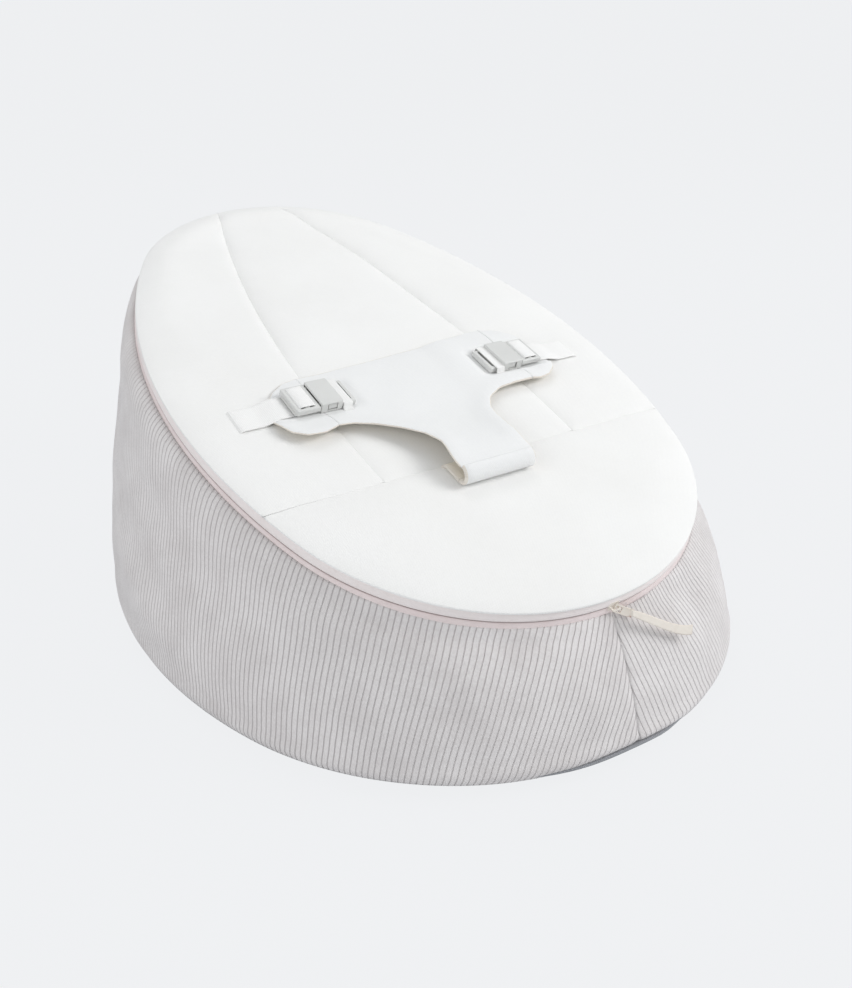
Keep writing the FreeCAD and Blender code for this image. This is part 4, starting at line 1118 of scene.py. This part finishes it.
# Half of the keeper's line over the tail: place from the middle, and height
keeper_half = [(0, 7.05), (18.8, 7.0), (20.3, 6.6), (20.8, 4.6), (21.4, 1.4), (22.2, 0.7), (26.2, 0.7)]
keeper_line = [(-y, z) for y, z in keeper_half[:0:-1]] + keeper_half
for side_name, side in (("right", 1), ("left", -1)):
    keeper_path = [(side * KEEPER_X, BUCKLE_Y + y, KEEPER_Z + z) for y, z in keeper_line]
    keeper = ribbon(f"keeper_tape_{side_name}", keeper_path, (1, 0, 0), *KEEPER_SIZE)
    keeper.data.materials.append(webbing_material)
    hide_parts(f"buckle_keeper_{side_name}")
    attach(keeper, "harness")


# The side straps: flat webbing that comes up through a slit in each side panel, lies on the top and
# rises over the ear to the buckle, where its hem is sewn back on itself round the plug's bar.

# Lines of the strap from its slit, and of the hem round the bar: place across the seat, and height
strap_line = [(203.9, 12.4), (203.9, 14.6), (203.4, 16.4), (201.5, 17.3), (198, 17.5), (190, 17.5),
              (182, 17.4), (178, 17.6), (171, 19.6), (163, 21.8), (156, 22.0), (149.2, 21.7)]
hem_line = [(148.3, 21.8), (144, 21.8), (136, 21.8), (129, 21.9), (127.7, 22.7), (127.5, 26), (127.7, 29.4),
            (129, 30.2), (136, 30.3), (142, 30.2), (143.2, 29.4), (143.3, 26), (142.6, 23.9)]
for side_name, side in (("right", 1), ("left", -1)):
    strap_path, hem_path = ([(side * x, BUCKLE_Y, z) for x, z in line] for line in (strap_line, hem_line))
    strap = ribbon(f"side_strap_{side_name}", strap_path, (0, 1, 0), *STRAP_SIZE)
    strap.data.materials.append(webbing_material)
    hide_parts(f"strap_{side_name}")
    tuple(seat((side * 198, BUCKLE_Y, 18)) * 0.001)
    tuple(seat((side * 152, BUCKLE_Y, 22)) * 0.001)
    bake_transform(strap)
    hem = ribbon(f"strap_hem_{side_name}", hem_path, (0, 1, 0), *HEM_SIZE)
    hem.data.materials.append(webbing_material)
    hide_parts(f"strap_loop_{side_name}")
    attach(hem, f"plug_{side_name}")


# The zip slider and its pull: a cream enamelled slider with worn, rose-coloured edges, a bare metal
# tongue hooked through its bail, and a soft cream tab sewn to the tongue.


def enamel():
    finish = Finish("cream enamel")
    places = finish.places()
    worn = finish.noise(places, 500, 3, 0.65)
    pointed = Shade(finish, finish.node("ShaderNodeNewGeometry").outputs["Pointiness"])
    edge = finish.between(pointed, 0.56, 0.66)
    bare = finish.between(edge * 0.8 + worn * 0.4, 0.7, 1.05)
    colour = finish.blend(bare, (0.83, 0.77, 0.69, 1), (0.42, 0.27, 0.22, 1))
    return finish.done(colour, 0.35 + worn * 0.1, finish.bump(worn, 0.00005), Coat_Weight=0.2)


refinished(("zip_slider", "zip_pull_tongue"), enamel())


def tab_cloth():
    finish = Finish("cream tab cloth")
    along, across, _ = finish.parts_of(finish.cloth())
    weave = woven(finish, along, across, 0.0006)
    tone = finish.noise(finish.places(), 120, 3, 0.6)
    edge = finish.between(finish.math("ABSOLUTE", across), 0.0036, 0.0047)
    colour = finish.blend(tone, (0.80, 0.73, 0.65, 1), (0.90, 0.845, 0.77, 1))
    colour = finish.blend(edge * 0.35, colour, (0.62, 0.5, 0.42, 1))
    return finish.done(colour, 0.88, finish.bump(weave + tone * 0.5, 0.0002), Sheen_Weight=0.15)


# Points that the tab's middle line passes by, and how far along it they are
tab_bends = np.array([(9.5, -368.5, 121), (30, -371.5, 109), (50, -374.5, 97.5), (63, -377, 91),
                      (74, -378, 88.5)])
tab_marks = [0, 0.27, 0.54, 0.73, 0.9]
tab_shares = np.linspace(0, 1, 28)
tab_curves = np.polyfit(tab_marks, tab_bends, 3).T
tab_spots = np.column_stack([np.polyval(curve, tab_shares * tab_marks[-1]) for curve in tab_curves])
tab_widths = np.interp(tab_shares, [0, 0.1, 0.5, 1], [5, 6.5, 7.5, 8.5])
TAB_ACROSS, TAB_THICK = (0.40, 0.36, 0.84), 1.5
tab = ribbon("pull_tab", tab_spots, TAB_ACROSS, tab_widths, TAB_THICK, place=np.asarray)
tab.data.materials.append(tab_cloth())
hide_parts("zip_pull_strap")
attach(tab, "pull")


# The studio: a plain pale floor that keeps a faint shadow, a pale sky, three soft round lamps, and the
# camera above and to the left of the foot.


def floor_finish():
    finish = Finish("pale floor")
    rays = finish.node("ShaderNodeLightPath").outputs
    seen = finish.math("MAXIMUM", Shade(finish, rays["Is Camera Ray"]), Shade(finish, rays["Is Glossy Ray"]))
    seen = finish.math("MAXIMUM", seen, Shade(finish, rays["Is Transmission Ray"]))
    matte = finish.node("ShaderNodeBsdfDiffuse", values={"Color": (0.80, 0.81, 0.83, 1)})
    bright = finish.node("ShaderNodeEmission", values={"Color": (0.871, 0.881, 0.896, 1), "Strength": 1.0})
    values = {0: seen * 0.965, 1: matte.outputs[0], 2: bright.outputs[0]}
    mixed = finish.node("ShaderNodeMixShader", values=values)
    finish.node("ShaderNodeOutputMaterial", values={0: mixed.outputs[0]})
    return finish.material


FLOOR_HALF = 300000.0
floor_corners = np.array([(-1, -1, 0), (1, -1, 0), (1, 1, 0), (-1, 1, 0)]) * FLOOR_HALF
floor = make_piece("floor", floor_corners, [(0, 1, 2, 3)])
floor.data.materials.append(floor_finish())

world = bpy.data.worlds.new("studio")
bpy.context.scene.world = world
world.use_nodes = True
sky = world.node_tree.nodes["Background"].inputs
sky["Color"].default_value, sky["Strength"].default_value = (0.94, 0.97, 1.0, 1), 0.55


def add_lamp(name, place, target, size, power):
    """Round lamp at a place, turned to its target."""
    light = bpy.data.lights.new(name, "AREA")
    light.shape, light.size, light.energy = "DISK", size, power
    lamp = bpy.data.objects.new(name, light)
    lamp.location = place
    lamp.rotation_euler = (Vector(target) - Vector(place)).to_track_quat("-Z", "Y").to_euler()
    bpy.context.scene.collection.objects.link(lamp)


add_lamp("key", (2.0, -1.5, 1.8), (0, 0, 0.15), 1.6, 44)
add_lamp("fill", (-2.3, -0.5, 1.1), (0, 0, 0.15), 1.8, 14)
add_lamp("over", (0.3, 1.2, 2.8), (0, 0, 0.2), 1.8, 14)

camera_data = bpy.data.cameras.new("camera")
camera_data.sensor_fit, camera_data.sensor_width, camera_data.lens = "HORIZONTAL", 36, 46.479
camera_data.shift_x, camera_data.shift_y = 0.02597, -0.26272
camera = bpy.data.objects.new("camera", camera_data)
camera.location = (-0.58664, -0.95173, 0.62623)
camera.rotation_euler = (math.radians(75.43), 0, math.radians(-32.551))
bpy.context.scene.collection.objects.link(camera)
bpy.context.scene.camera = camera
bpy.context.scene.view_settings.view_transform = "Standard"
